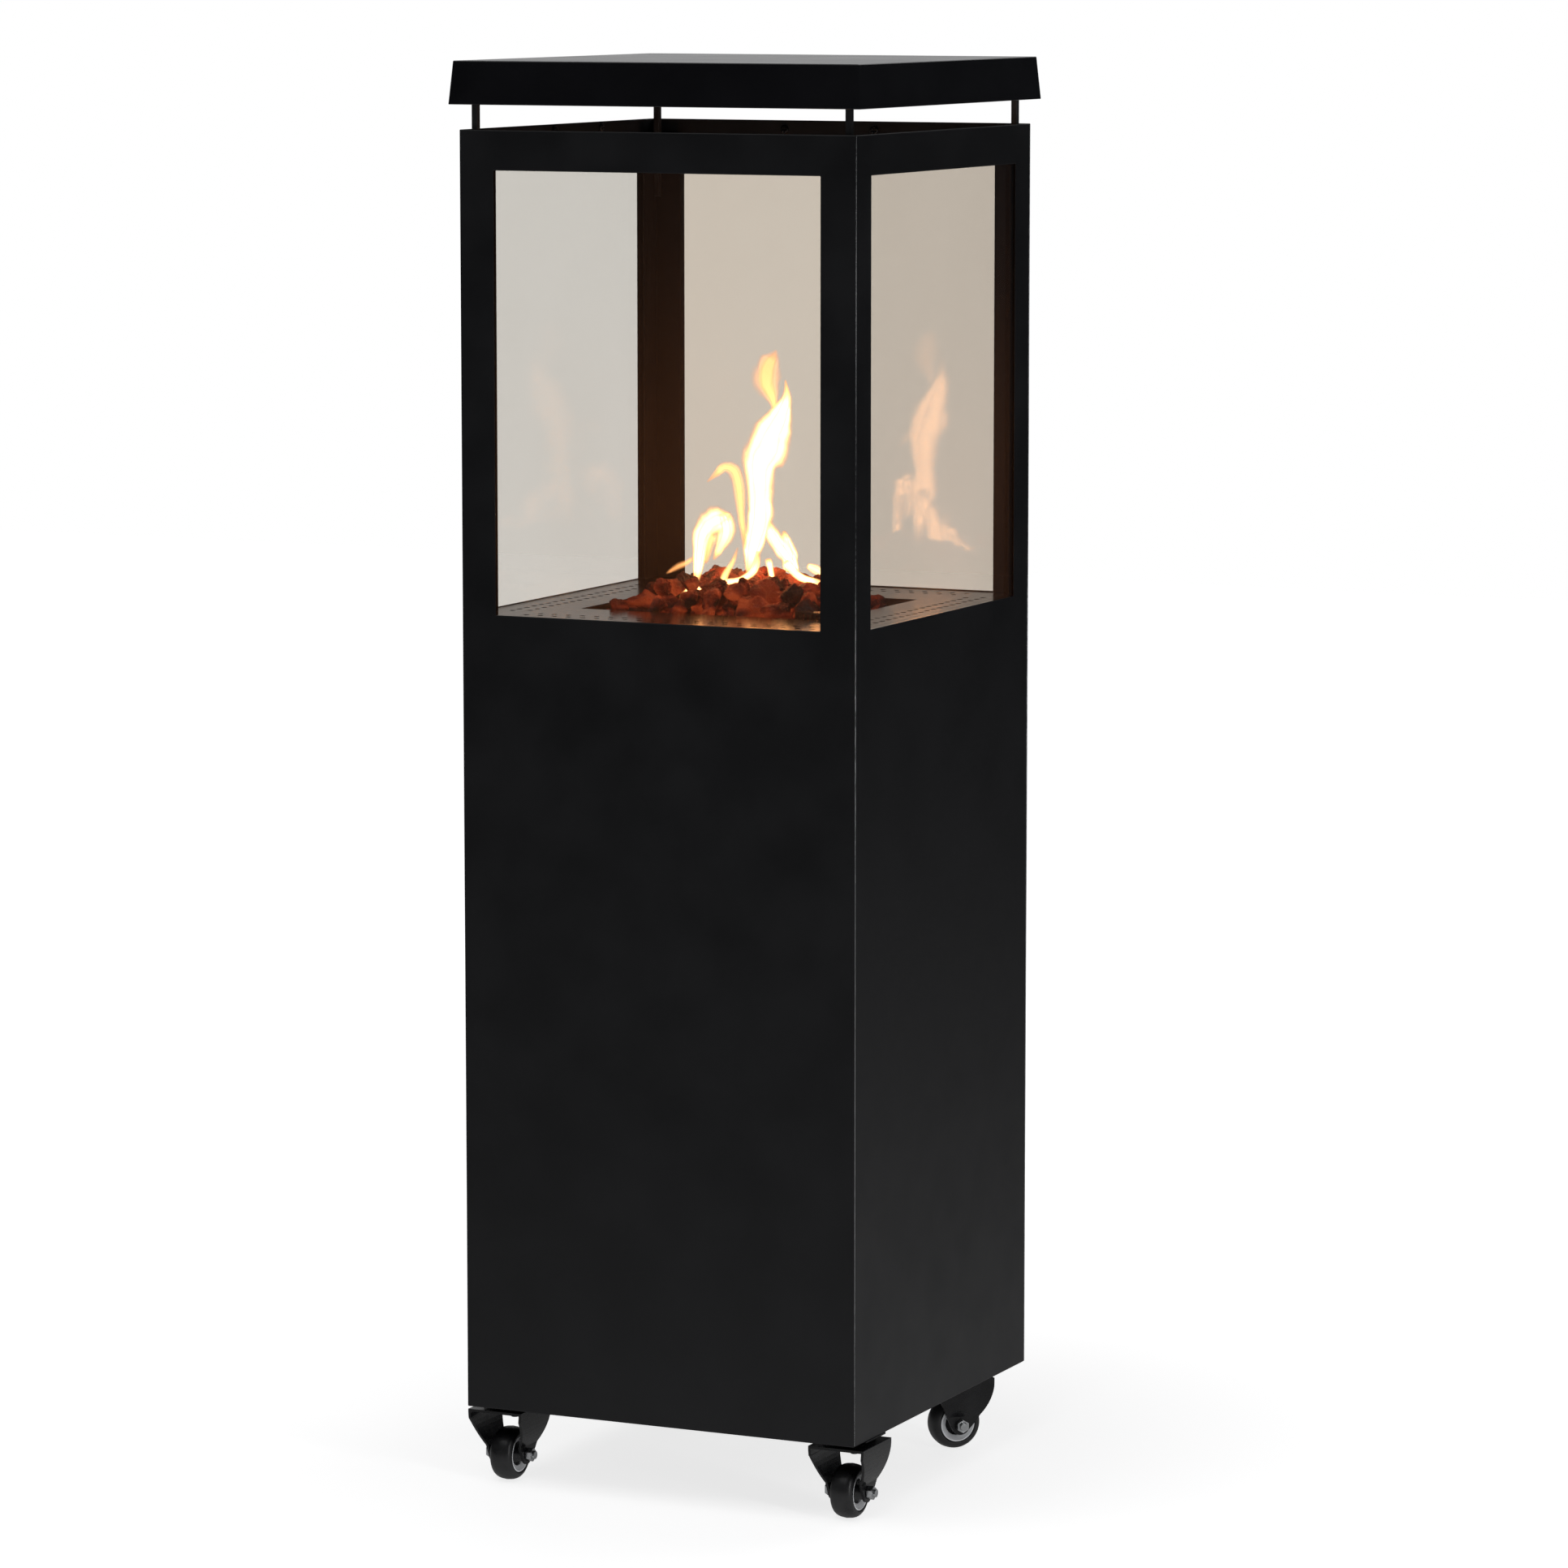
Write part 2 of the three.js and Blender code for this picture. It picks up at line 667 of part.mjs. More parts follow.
function rearDoor() {
  const inner = BODY_HALF - DOOR_FLANGE;
  const whole = box(-DOOR_HALF, DOOR_HALF, inner, BODY_HALF, DOOR_BOTTOM, DOOR_TOP);
  const half = DOOR_HALF - SHEET;
  const hollow = box(-half, half, inner - 1, INNER_HALF, DOOR_BOTTOM + SHEET, DOOR_TOP - SHEET);
  const pivotHole = rod(PIVOT_R + 0.5, DOOR_BOTTOM - 1, DOOR_TOP + 1, PIVOT_X, PIVOT_Y);
  const latchHole = rodY(LATCH_STEM_R + 0.4, INNER_HALF - 1, BODY_HALF + 1, LATCH_X, LATCH_Z);
  const vents = [];
  const ventPitch = 16;
  for (let i = 0; i < 4; i += 1) {
    const vent = stadium(0, DOOR_BOTTOM + 50 + ventPitch * i, 70, 3.5);
    vents.push(extrudedY(vent, INNER_HALF - 1, BODY_HALF + 1, 3));
  }
  return cut(whole, hollow, pivotHole, latchHole, ...vents);
}

// A pivot bracket behind the rear wall: a tab, a shelf and the pin. up is 1 above the door and
// -1 below it, and edge is the height of the shelf's face towards the door.
function doorPivot(up, edge) {
  const span = (a, b) => {
    const ends = [edge + up * a, edge + up * b];
    return [Math.min(...ends), Math.max(...ends)];
  };
  const back = INNER_HALF - GAP;
  const x0 = PIVOT_X - 9;
  const x1 = PIVOT_X + 12;
  const shelf = box(x0, x1, PIVOT_Y - 6, back, ...span(0, 2));
  const tab = box(x0, x1, back - 1.5, back, ...span(1, 14));
  const pin = rod(PIVOT_R, ...span(-10, 1), PIVOT_X, PIVOT_Y, 16);
  return joined(shelf, tab, pin);
}

// Latch at rest with its cam upright and the door free. A quarter turn brings the cam behind the
// strike tab.
function doorLatch() {
  const face = rodY(15, BODY_HALF + 0.4, BODY_HALF + 3.4, LATCH_X, LATCH_Z, 28);
  const gripFront = BODY_HALF + 7.2;
  const grip = box(LATCH_X - 3, LATCH_X + 3, BODY_HALF + 2, gripFront, LATCH_Z - 13, LATCH_Z + 13);
  const stem = rodY(LATCH_STEM_R, LATCH_CAM_Y + 1, BODY_HALF + 2, LATCH_X, LATCH_Z, 18);
  const half = LATCH_STEM_R;
  const camFront = LATCH_CAM_Y + LATCH_CAM;
  const cam = box(LATCH_X - half, LATCH_X + half, LATCH_CAM_Y, camFront, LATCH_Z - half, LATCH_Z + 34);
  return joined(face, grip, stem, cam);
}

add("rear_door", rearDoor(), blackCoat);
add("upper_door_pivot", doorPivot(1, DOOR_TOP + DOOR_GAP), zinc);
add("lower_door_pivot", doorPivot(-1, DOOR_BOTTOM - DOOR_GAP), zinc);
add("door_latch", doorLatch(), blackPlastic);

// ---- Casters ----
// Each caster is drawn with its kingpin on the Z axis and its wheel towards -Y.

// Mounting plate, upper ball race, kingpin and its nut.
function casterPlate() {
  const top = BODY_BOTTOM - GAP;
  const low = top - PLATE_SHEET;
  const plate = box(-PLATE_HALF, PLATE_HALF, -PLATE_HALF, PLATE_HALF, low, top);
  const race = rod(20, FORK_TOP + GAP, low + 1, 0, 0, 28);
  const pin = rod(4, KINGPIN_BOTTOM, FORK_TOP + 1, 0, 0, 16);
  const nut = rod(5.9, KINGPIN_BOTTOM + 1, KINGPIN_BOTTOM + 5.5, 0, 0, 6);
  return joined(plate, race, pin, nut);
}

// An open line of [x, z] points moved sideways, to its left.
function beside(points, distance) {
  return points.map(([x, z], i) => {
    const [x0, z0] = points[Math.max(i - 1, 0)];
    const [x1, z1] = points[Math.min(i + 1, points.length - 1)];
    const length = Math.hypot(x1 - x0, z1 - z0);
    return [x - ((z1 - z0) / length) * distance, z + ((x1 - x0) / length) * distance];
  });
}

// One leg of the fork seen from the front, curving in from the head to the axle. side is 1 or -1.
function forkLeg(side) {
  const line = new THREE.Path();
  line.moveTo(FORK_LEG_HALF, 0);
  line.lineTo(FORK_LEG_HALF, AXLE_SEAT_TOP);
  line.quadraticCurveTo(FORK_HALF - 1, AXLE_SEAT_TOP + 15, FORK_HALF, FORK_TOP - 4);
  line.lineTo(FORK_HALF, FORK_TOP);
  const outer = line.getPoints(8).map((p) => [p.x, p.y]);
  const inner = beside(outer, FORK_SHEET).reverse();
  const points = [...outer, ...inner].map(([x, z]) => [side * x, z]);
  return extrudedY(outline(side > 0 ? points : points.reverse()), FORK_BACK - 1, FORK_FRONT + 1);
}

// A leg's outline seen from the side: wide at the head and rounded about the axle.
function legOutline() {
  const shoulder = FORK_TOP - 9;
  const frontLean = THREE.MathUtils.degToRad(32);
  const backLean = THREE.MathUtils.degToRad(22);
  const shape = new THREE.Shape();
  shape.moveTo(FORK_FRONT, FORK_TOP);
  shape.lineTo(FORK_FRONT, shoulder);
  const tangentX = -TRAIL + LEG_END_R * Math.cos(frontLean);
  const tangentZ = WHEEL_R - LEG_END_R * Math.sin(frontLean);
  shape.quadraticCurveTo(FORK_FRONT - 2.5, WHEEL_R + 14.5, tangentX, tangentZ);
  shape.absarc(-TRAIL, WHEEL_R, LEG_END_R, -frontLean, -Math.PI + backLean, true);
  shape.quadraticCurveTo(FORK_BACK + 9, WHEEL_R + 26.5, FORK_BACK, shoulder);
  shape.lineTo(FORK_BACK, FORK_TOP);
  return shape;
}

// The fork: a bent strap cut to the legs' outline, with holes for the kingpin and the axle.
function casterFork() {
  const head = box(
    -FORK_HALF,
    FORK_HALF,
    FORK_BACK - 1,
    FORK_FRONT + 1,
    FORK_TOP - FORK_SHEET,
    FORK_TOP,
  );
  const strap = joined(forkLeg(1), forkLeg(-1), head);
  const profile = extruded(legOutline(), 80, 9).rotateX(Math.PI / 2).rotateZ(Math.PI / 2);
  const blank = common(strap, profile.translate(-40, 0, 0));
  const pinHole = rod(4.5, FORK_TOP - 5, FORK_TOP + 1);
  return cut(blank, pinHole, rodX(AXLE_R + 0.4, -40, 40, -TRAIL, WHEEL_R));
}

function axleBolt() {
  const headFace = FORK_LEG_HALF + GAP;
  const shaft = rodX(AXLE_R, -headFace - 3, FORK_LEG_HALF + 8.5, -TRAIL, WHEEL_R, 16);
  const head = rodX(7, -headFace - 4.2, -headFace, -TRAIL, WHEEL_R, 6);
  const nut = rodX(6.6, headFace, headFace + 5.7, -TRAIL, WHEEL_R, 6);
  return joined(shaft, head, nut);
}

// A ring profile of [radius, axial] points turned about the wheel's axle.
function wheelRing(points) {
  return turned(points, 26).rotateY(Math.PI / 2).translate(0, -TRAIL, WHEEL_R);
}

function tyre() {
  const profile = [
    [HUB_R + GAP, -WHEEL_HALF],
    [21.5, -WHEEL_HALF],
    [24.6, -6.5],
    [WHEEL_R, 0],
    [24.6, 6.5],
    [21.5, WHEEL_HALF],
    [HUB_R + GAP, WHEEL_HALF],
    [HUB_R + GAP, -WHEEL_HALF],
  ];
  return wheelRing(profile);
}

function hub() {
  const bore = AXLE_R + 0.4;
  const profile = [
    [bore, -HUB_HALF],
    [7.5, -HUB_HALF],
    [7.5, -7],
    [14, -7],
    [14, -WHEEL_HALF],
    [HUB_R, -WHEEL_HALF],
    [HUB_R, WHEEL_HALF],
    [14, WHEEL_HALF],
    [14, 7],
    [7.5, 7],
    [7.5, HUB_HALF],
    [bore, HUB_HALF],
    [bore, -HUB_HALF],
  ];
  return wheelRing(profile);
}

for (const caster of CASTERS) {
  const frame = new THREE.Group();
  frame.position.set(caster.x, caster.y, 0);
  heater.add(frame);
  add(`caster_plate_${caster.name}`, casterPlate(), zinc, frame);
  const swivel = new THREE.Group();
  swivel.rotation.z = THREE.MathUtils.degToRad(caster.turn);
  frame.add(swivel);
  add(`caster_fork_${caster.name}`, casterFork(), blackCoat, swivel);
  add(`axle_bolt_${caster.name}`, axleBolt(), zinc, swivel);
  add(`tyre_${caster.name}`, tyre(), blackRubber, swivel);
  add(`hub_${caster.name}`, hub(), greyPlastic, swivel);
}

export default heater;
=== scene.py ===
"""Looks of a square gas patio heater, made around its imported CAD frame.

Metres, +Z up. The front wall faces -Y and the bottle door is in the rear wall, at +Y.
"""

import json
import math
import random

import bmesh
import bpy
import numpy as np
from mathutils import Matrix, Vector


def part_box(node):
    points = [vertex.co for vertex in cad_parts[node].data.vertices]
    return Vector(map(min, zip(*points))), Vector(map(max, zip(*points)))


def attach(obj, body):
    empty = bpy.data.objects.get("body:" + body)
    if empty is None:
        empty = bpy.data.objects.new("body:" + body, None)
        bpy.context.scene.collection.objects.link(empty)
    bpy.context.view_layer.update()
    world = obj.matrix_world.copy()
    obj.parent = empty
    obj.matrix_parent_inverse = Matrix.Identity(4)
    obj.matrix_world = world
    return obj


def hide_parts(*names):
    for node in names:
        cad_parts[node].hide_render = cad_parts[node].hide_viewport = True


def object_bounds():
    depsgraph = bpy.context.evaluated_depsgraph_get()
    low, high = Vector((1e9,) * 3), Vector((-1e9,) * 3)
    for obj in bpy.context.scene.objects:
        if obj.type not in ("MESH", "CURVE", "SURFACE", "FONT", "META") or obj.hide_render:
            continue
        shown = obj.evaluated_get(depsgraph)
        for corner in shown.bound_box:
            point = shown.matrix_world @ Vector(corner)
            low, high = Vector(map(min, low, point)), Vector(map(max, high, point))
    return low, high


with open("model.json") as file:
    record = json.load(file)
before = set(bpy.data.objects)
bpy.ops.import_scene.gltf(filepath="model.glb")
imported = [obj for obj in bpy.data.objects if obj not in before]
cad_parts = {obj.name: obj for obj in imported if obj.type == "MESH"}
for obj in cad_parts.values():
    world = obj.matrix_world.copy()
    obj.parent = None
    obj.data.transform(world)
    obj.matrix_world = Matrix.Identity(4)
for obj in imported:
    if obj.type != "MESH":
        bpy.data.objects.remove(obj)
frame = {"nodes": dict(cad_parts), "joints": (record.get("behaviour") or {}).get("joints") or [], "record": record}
CAD_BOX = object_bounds()
NODES = frame["nodes"]
JOINTS = {joint["name"]: joint for joint in frame["joints"]}
CORNERS = ("front_right", "front_left", "rear_right", "rear_left")
MM = 0.001
WELD_REACH = 0.01 * MM
EDGE_SEGMENTS, EDGE_ANGLE = 2, math.radians(35)


# ---- Driving values ----

# Camera: turned to the right of straight ahead, and looking down.
VIEW_TURN = math.radians(25.11)
VIEW_DROP = math.radians(7.54)
CAMERA_PLACE = (2.5816, -5.4328, 1.452)
LENS_MM, SENSOR_MM = 147.24, 36
VIEW_SIDE = Vector((math.cos(VIEW_TURN), math.sin(VIEW_TURN), 0))  # level, along the picture
VIEW_AWAY = Vector((-math.sin(VIEW_TURN), math.cos(VIEW_TURN), 0))  # level, away from the camera

# Studio: each soft box is (name, place, target, (width, height), radiance).
FLOOR_HALF = 8.0
WORLD_DIM = 0.022
SOFT_BOXES = (
    ("overhead", (-0.4, -1.6, 3.4), (0, -0.6, 0), (3.0, 2.4), 1.3),
    ("backdrop_glow", (-1.55, 3.30, 1.55), (0, 0, 1.3), (2.6, 2.4), 0.45),
    ("edge_strip", (3.0, -1.45, 0.95), (0.2, -0.2, 0.85), (0.16, 2.2), 16.0),
    ("rear_overhead", (1.1, 1.8, 2.2), (0.8, 1.4, 0), (1.3, 1.3), 1.1),
)

# Sheet walls, measured from the heater's axis.
WALL = abs(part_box("front_panel")[1].y)  # inner face
WALL_OUTSIDE = abs(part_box("front_panel")[0].y)
WALL_BOTTOM, WALL_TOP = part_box("front_panel")[0].z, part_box("front_panel")[1].z

# Deck with two staggered rows of air holes, each (distance out, half count, shift in pitches).
DECK_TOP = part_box("deck_plate")[1].z
DECK_SHEET = 1.3 * MM
HOLE_RADIUS = 2.9 * MM
HOLE_PITCH = 14.6 * MM
HOLE_SIDES = 20
HOLE_ROWS = ((176 * MM, 10, 0.0), (161.5 * MM, 10, 0.5))
HOLE_BAND = (140 * MM, 190 * MM)

# Lava rocks in the pan, heaped in a mound that stays clear of the pilot.
PAN_LOW, PAN_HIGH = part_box("lava_rock_bed")
PILOT_LOW, PILOT_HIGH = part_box("pilot_hood")
ROCK_RADII = (6.5, 12.0)  # mm
ROCK_TRIES = 1500
ROCK_FACETS, ROCK_WAVES = 11, 14
HEAP_HALF_X, HEAP_HALF_Y = 118 * MM, 98 * MM
HEAP_MIDDLE_Y = -4 * MM
HEAP_EDGE, HEAP_RISE = 10 * MM, 43 * MM
HEAP_SKIN = 22 * MM  # rocks deeper than this are made coarser

# Flames.
GLOW_PLACE = (0.01, -0.01, 0.885)
GLOW_WATTS = 1.5
# Where the painted flame light on the lava rocks is brightest.
FLAME_LIGHT_CENTRE = (0.0, -0.015, 0.845)
BLADES = 3
BLADE_COLUMNS = 11

# Screws: along the rim, the places on the front and rear walls, then those on the side walls.
RIM_SCREWS = ((-57 * MM, 38 * MM, 9 * MM), (-11 * MM, 87 * MM, 6 * MM))  # two places, drop from rim
RIM_SCREW_RADIUS = 4.6 * MM
CUP_SCREW_RADIUS, CUP_SCREW_INSET = 2.4 * MM, 3.2 * MM

# Corner seams: bare metal lines at the sheets' joints that give each corner a painted highlight.
SEAM_RADIUS = 0.45 * MM
SEAM_IN_X, SEAM_IN_Y = 0.25 * MM, 1.35 * MM
SEAM_END = 1 * MM

# Casters.
WHEEL_HALF = 11.3 * MM
BOSS_HALF = 15.5 * MM
TYRE_BORE = 18.0 * MM
TYRE_GAP = 0.2 * MM
HUB_OUTER, HUB_INNER, HUB_BORE = 17.6 * MM, 11.6 * MM, 4.3 * MM
NUT_BOTTOM, NUT_CORNER, NUT_HEIGHT = 59.3 * MM, 6.1 * MM, 4.9 * MM
STUD_RADIUS = 3.9 * MM

# Rear controls.
CUP_SHEET = 1.2 * MM
DIAL_DOTS, DIAL_RADIUS = 9, 26.5 * MM
POINTER_HALF, POINTER_SUNK = 0.9 * MM, 0.3 * MM
POINTER_FROM, POINTER_TO = 6 * MM, 17 * MM


# ---- Shader nodes ----


def node(tree, kind, inputs=None, **settings):
    """Adds a shader node. An input is another node's socket, which is linked, or a plain value."""
    made = tree.nodes.new("ShaderNode" + kind)
    for key, value in settings.items():
        setattr(made, key, value)
    for key, value in (inputs or {}).items():
        if isinstance(value, bpy.types.NodeSocket):
            tree.links.new(value, made.inputs[key])
        else:
            made.inputs[key].default_value = value
    return made


def new_paint(name):
    """An empty node material, its tree and its output node."""
    paint = bpy.data.materials.new(name)
    paint.use_nodes = True
    tree = paint.node_tree
    tree.nodes.clear()
    return paint, tree, node(tree, "OutputMaterial")


def finish(tree, shader, out):
    tree.links.new(shader.outputs[0], out.inputs[0])


def math_node(tree, operation, *values):
    return node(tree, "Math", dict(enumerate(values)), operation=operation).outputs[0]


def times(tree, a, b):
    return math_node(tree, "MULTIPLY", a, b)


def plus(tree, a, b):
    return math_node(tree, "ADD", a, b)


def between(tree, value, from_low, from_high, to_low, to_high):
    """The value carried from one range to another, and held at the new range's ends."""
    values = {"Value": value, 1: from_low, 2: from_high, 3: to_low, 4: to_high}
    return node(tree, "MapRange", values).outputs[0]


def place_on_object(tree):
    return node(tree, "TexCoord").outputs["Object"]


def stretched(tree, scale):
    """The object's coordinates, in metres, multiplied by scale along each axis."""
    return node(tree, "Mapping", {"Vector": place_on_object(tree), "Scale": scale}).outputs[0]


def cloud(tree, scale, detail=3.0, roughness=0.5, distortion=0.0):
    values = {
        "Vector": stretched(tree, scale),
        "Scale": 1.0,
        "Detail": detail,
        "Roughness": roughness,
        "Distortion": distortion,
    }
    return node(tree, "TexNoise", values).outputs["Fac"]


def ramp(tree, value, stops):
    """A colour ramp from (position, (r, g, b)) stops."""
    made = node(tree, "ValToRGB", {"Fac": value})
    band = made.color_ramp
    while len(band.elements) < len(stops):
        band.elements.new(0.5)
    for element, (position, colour) in zip(band.elements, stops):
        element.position = position
        element.color = (*colour, 1)
    return made.outputs["Color"]


def relief(tree, height, strength, distance):
    values = {"Height": height, "Strength": strength, "Distance": distance}
    return node(tree, "Bump", values).outputs[0]


# ---- Camera, floor and studio light ----


def link(thing):
    bpy.context.scene.collection.objects.link(thing)
    return thing


def add_camera():
    data = bpy.data.cameras.new("camera")
    data.lens = LENS_MM
    data.sensor_width = SENSOR_MM
    data.clip_end = 60
    camera = link(bpy.data.objects.new("camera", data))
    camera.location = CAMERA_PLACE
    camera.rotation_euler = (math.pi / 2 - VIEW_DROP, 0, VIEW_TURN)
    bpy.context.scene.camera = camera


def soft_box(name, place, target, size, radiance):
    """A rectangular light that faces target."""
    data = bpy.data.lights.new(name, "AREA")
    data.shape = "RECTANGLE"
    data.size, data.size_y = size
    data.energy = radiance * math.pi * size[0] * size[1]
    lamp = link(bpy.data.objects.new(name, data))
    lamp.location = place
    lamp.rotation_euler = (Vector(target) - Vector(place)).to_track_quat("-Z", "Y").to_euler()
    lamp.visible_camera = False


def add_world():
    """A white backdrop to the camera, and a dim studio to everything else."""
    world = bpy.data.worlds.new("studio")
    bpy.context.scene.world = world
    world.use_nodes = True
    tree = world.node_tree
    tree.nodes.clear()
    seen = node(tree, "LightPath").outputs["Is Camera Ray"]
    dim = node(tree, "Background", {"Color": (0.85, 0.90, 1.0, 1), "Strength": WORLD_DIM})
    white = node(tree, "Background", {"Color": (1, 1, 1, 1), "Strength": 1.0})
    both = node(tree, "MixShader", {0: seen, 1: dim.outputs[0], 2: white.outputs[0]})
    finish(tree, both, node(tree, "OutputWorld"))


def floor_paint():
    """Pale and matt, glowing to meet the backdrop's white away from the object, its glow lowered round the object
    as painted shade.
    """
    paint, tree, out = new_paint("pale_floor")
    from_middle = node(tree, "VectorMath", {0: place_on_object(tree)}, operation="LENGTH")
    distance = from_middle.outputs["Value"]
    path = node(tree, "LightPath").outputs
    # Painted shade: to the camera the floor glows less round the object, so a grey pool lies there under the real
    # shadow.
    camera_glow_with_painted_shade = times(tree, between(tree, distance, 0.3, 1.3, 0.78, 1.0), path["Is Camera Ray"])
    to_object = times(tree, path["Is Diffuse Ray"], 0.9)
    mirrored = times(tree, path["Is Glossy Ray"], between(tree, distance, 0.3, 1.7, 0.20, 0.0))
    strength = plus(tree, plus(tree, camera_glow_with_painted_shade, to_object), mirrored)
    light = node(tree, "Emission", {"Color": (1, 1, 1, 1), "Strength": strength})
    matt = node(tree, "BsdfDiffuse", {"Color": (0.8, 0.8, 0.8, 1)})
    finish(tree, node(tree, "AddShader", {0: light.outputs[0], 1: matt.outputs[0]}), out)
    return paint


def add_floor():
    mesh = bpy.data.meshes.new("floor")
    corners = [(x * FLOOR_HALF, y * FLOOR_HALF, 0) for x, y in ((-1, -1), (1, -1), (1, 1), (-1, 1))]
    mesh.from_pydata(corners, [], [(0, 1, 2, 3)])
    mesh.materials.append(floor_paint())
    link(bpy.data.objects.new("floor", mesh))


def add_studio():
    add_camera()
    add_world()
    add_floor()
    for lamp in SOFT_BOXES:
        soft_box(*lamp)
    bpy.context.scene.view_settings.view_transform = "Standard"
    bpy.context.scene.cycles.transparent_max_bounces = 48


# ---- Materials ----


def surface(name, dark, light, rough, metallic=0.0, specular=0.5, patch=14.0, grain=900.0,
            stretch=(1, 1, 1), depth=0.00004, strength=0.5, coat=0.0):
    """A finish whose colour drifts from dark to light, with roughness in the (low, high) pair rough.

    patch is the scale of the broad drift and grain that of the fine texture, per metre. stretch
    draws the grain out along the axes where it is small, as brushing does.
    """
    paint, tree, out = new_paint(name)
    broad = cloud(tree, (patch,) * 3, detail=4.0)
    fine = cloud(tree, tuple(grain * s for s in stretch), detail=2.0)
    shader = node(tree, "BsdfPrincipled", {
        "Base Color": ramp(tree, broad, [(0.32, dark), (0.68, light)]),
        "Roughness": between(tree, plus(tree, broad, fine), 0.7, 1.3, *rough),
        "Metallic": metallic,
        "Specular IOR Level": specular,
        "Coat Weight": coat,
        "Coat Roughness": 0.12,
        "Normal": relief(tree, fine, strength, depth),
    })
    finish(tree, shader, out)
    return paint


def lava_paint():
    """Porous red-brown rock, with painted red-orange flame light on it in patches that fade away from the flames.
    """
    paint, tree, out = new_paint("lava_rock")
    broad = cloud(tree, (38,) * 3, detail=3.0)
    fine = cloud(tree, (420,) * 3, detail=6.0, roughness=0.7)
    pores = node(tree, "TexVoronoi", {"Vector": stretched(tree, (300,) * 3), "Scale": 1.0})
    colour = ramp(tree, broad, [
        (0.34, (0.045, 0.034, 0.036)),
        (0.45, (0.100, 0.034, 0.030)),
        (0.55, (0.220, 0.045, 0.032)),
        (0.66, (0.130, 0.105, 0.105)),
    ])
    speckled = node(tree, "MixRGB", {
        "Fac": between(tree, fine, 0.35, 0.65, 0.75, 0.0),
        "Color1": colour,
        "Color2": (0.012, 0.009, 0.009, 1),
    })
    # Painted flame light: patches of red-orange emission, strongest close to the flames and fading away from them;
    # the rocks are no lamp.
    glow_levels = cloud(tree, (26, 26, 34), detail=3.0, distortion=0.6)
    from_fire = node(tree, "VectorMath", {
        0: place_on_object(tree),
        1: FLAME_LIGHT_CENTRE,
    }, operation="DISTANCE").outputs["Value"]
    flame_light_falloff = between(tree, from_fire, 0.04, 0.15, 1.0, 0.25)
    heat = times(tree, between(tree, glow_levels, 0.44, 0.62, 0.0, 1.0), flame_light_falloff)
    shader = node(tree, "BsdfPrincipled", {
        "Base Color": speckled.outputs[0],
        "Roughness": between(tree, fine, 0.3, 0.7, 0.75, 0.98),
        "Specular IOR Level": 0.2,
        "Emission Color": ramp(tree, heat, [(0.0, (0.55, 0.03, 0.012)), (1.0, (1.0, 0.16, 0.04))]),
        "Emission Strength": times(tree, heat, 0.42),
        "Normal": relief(tree, plus(tree, fine, pores.outputs["Distance"]), 0.9, 0.0014),
    })
    finish(tree, shader, out)
    return paint


def deck_paint():
    """Brushed stainless, browned by heat towards the burner."""
    paint, tree, out = new_paint("deck_steel")
    flat = node(tree, "VectorMath", {0: place_on_object(tree), 1: (1, 1, 0)}, operation="MULTIPLY")
    distance = node(tree, "VectorMath", {0: flat.outputs[0]}, operation="LENGTH").outputs["Value"]
    drift = between(tree, cloud(tree, (22,) * 3), 0.3, 0.7, -0.02, 0.02)
    cool = between(tree, plus(tree, distance, drift), 0.09, 0.27, 0.0, 1.0)
    brushing = cloud(tree, (30, 1400, 1400), detail=2.0)
    shader = node(tree, "BsdfPrincipled", {
        "Base Color": ramp(tree, cool, [
            (0.0, (0.20, 0.145, 0.120)),
            (0.45, (0.30, 0.245, 0.220)),
            (1.0, (0.40, 0.36, 0.34)),
        ]),
        "Metallic": 1.0,
        "Roughness": between(tree, brushing, 0.3, 0.7, 0.13, 0.24),
        "Normal": relief(tree, brushing, 0.15, 0.00002),
    })
    finish(tree, shader, out)
    return paint


def glass_paint(name, dark, light, haze):
    """A tinted pane with a film of soot, haze being the (low, high) share that the film covers."""
    paint, tree, out = new_paint(name)
    smoke = cloud(tree, (6, 6, 3), detail=3.0)
    tint = ramp(tree, smoke, [(0.3, dark), (0.7, light)])
    clear = node(tree, "BsdfTransparent", {"Color": tint})
    gloss = node(tree, "BsdfGlossy", {"Color": (1, 1, 1, 1), "Roughness": 0.015})
    slant = node(tree, "LayerWeight", {"Blend": 0.5}).outputs["Facing"]
    steep = math_node(tree, "POWER", slant, 5.0)
    bounce = between(tree, steep, 0.0, 1.0, 0.035, 1.0)
    pane = node(tree, "MixShader", {0: bounce, 1: clear.outputs[0], 2: gloss.outputs[0]})
    film = node(tree, "BsdfTranslucent", {"Color": (0.95, 0.80, 0.66, 1)})
    soot = between(tree, smoke, 0.3, 0.7, *haze)
    finish(tree, node(tree, "MixShader", {0: soot, 1: pane.outputs[0], 2: film.outputs[0]}), out)
    return paint


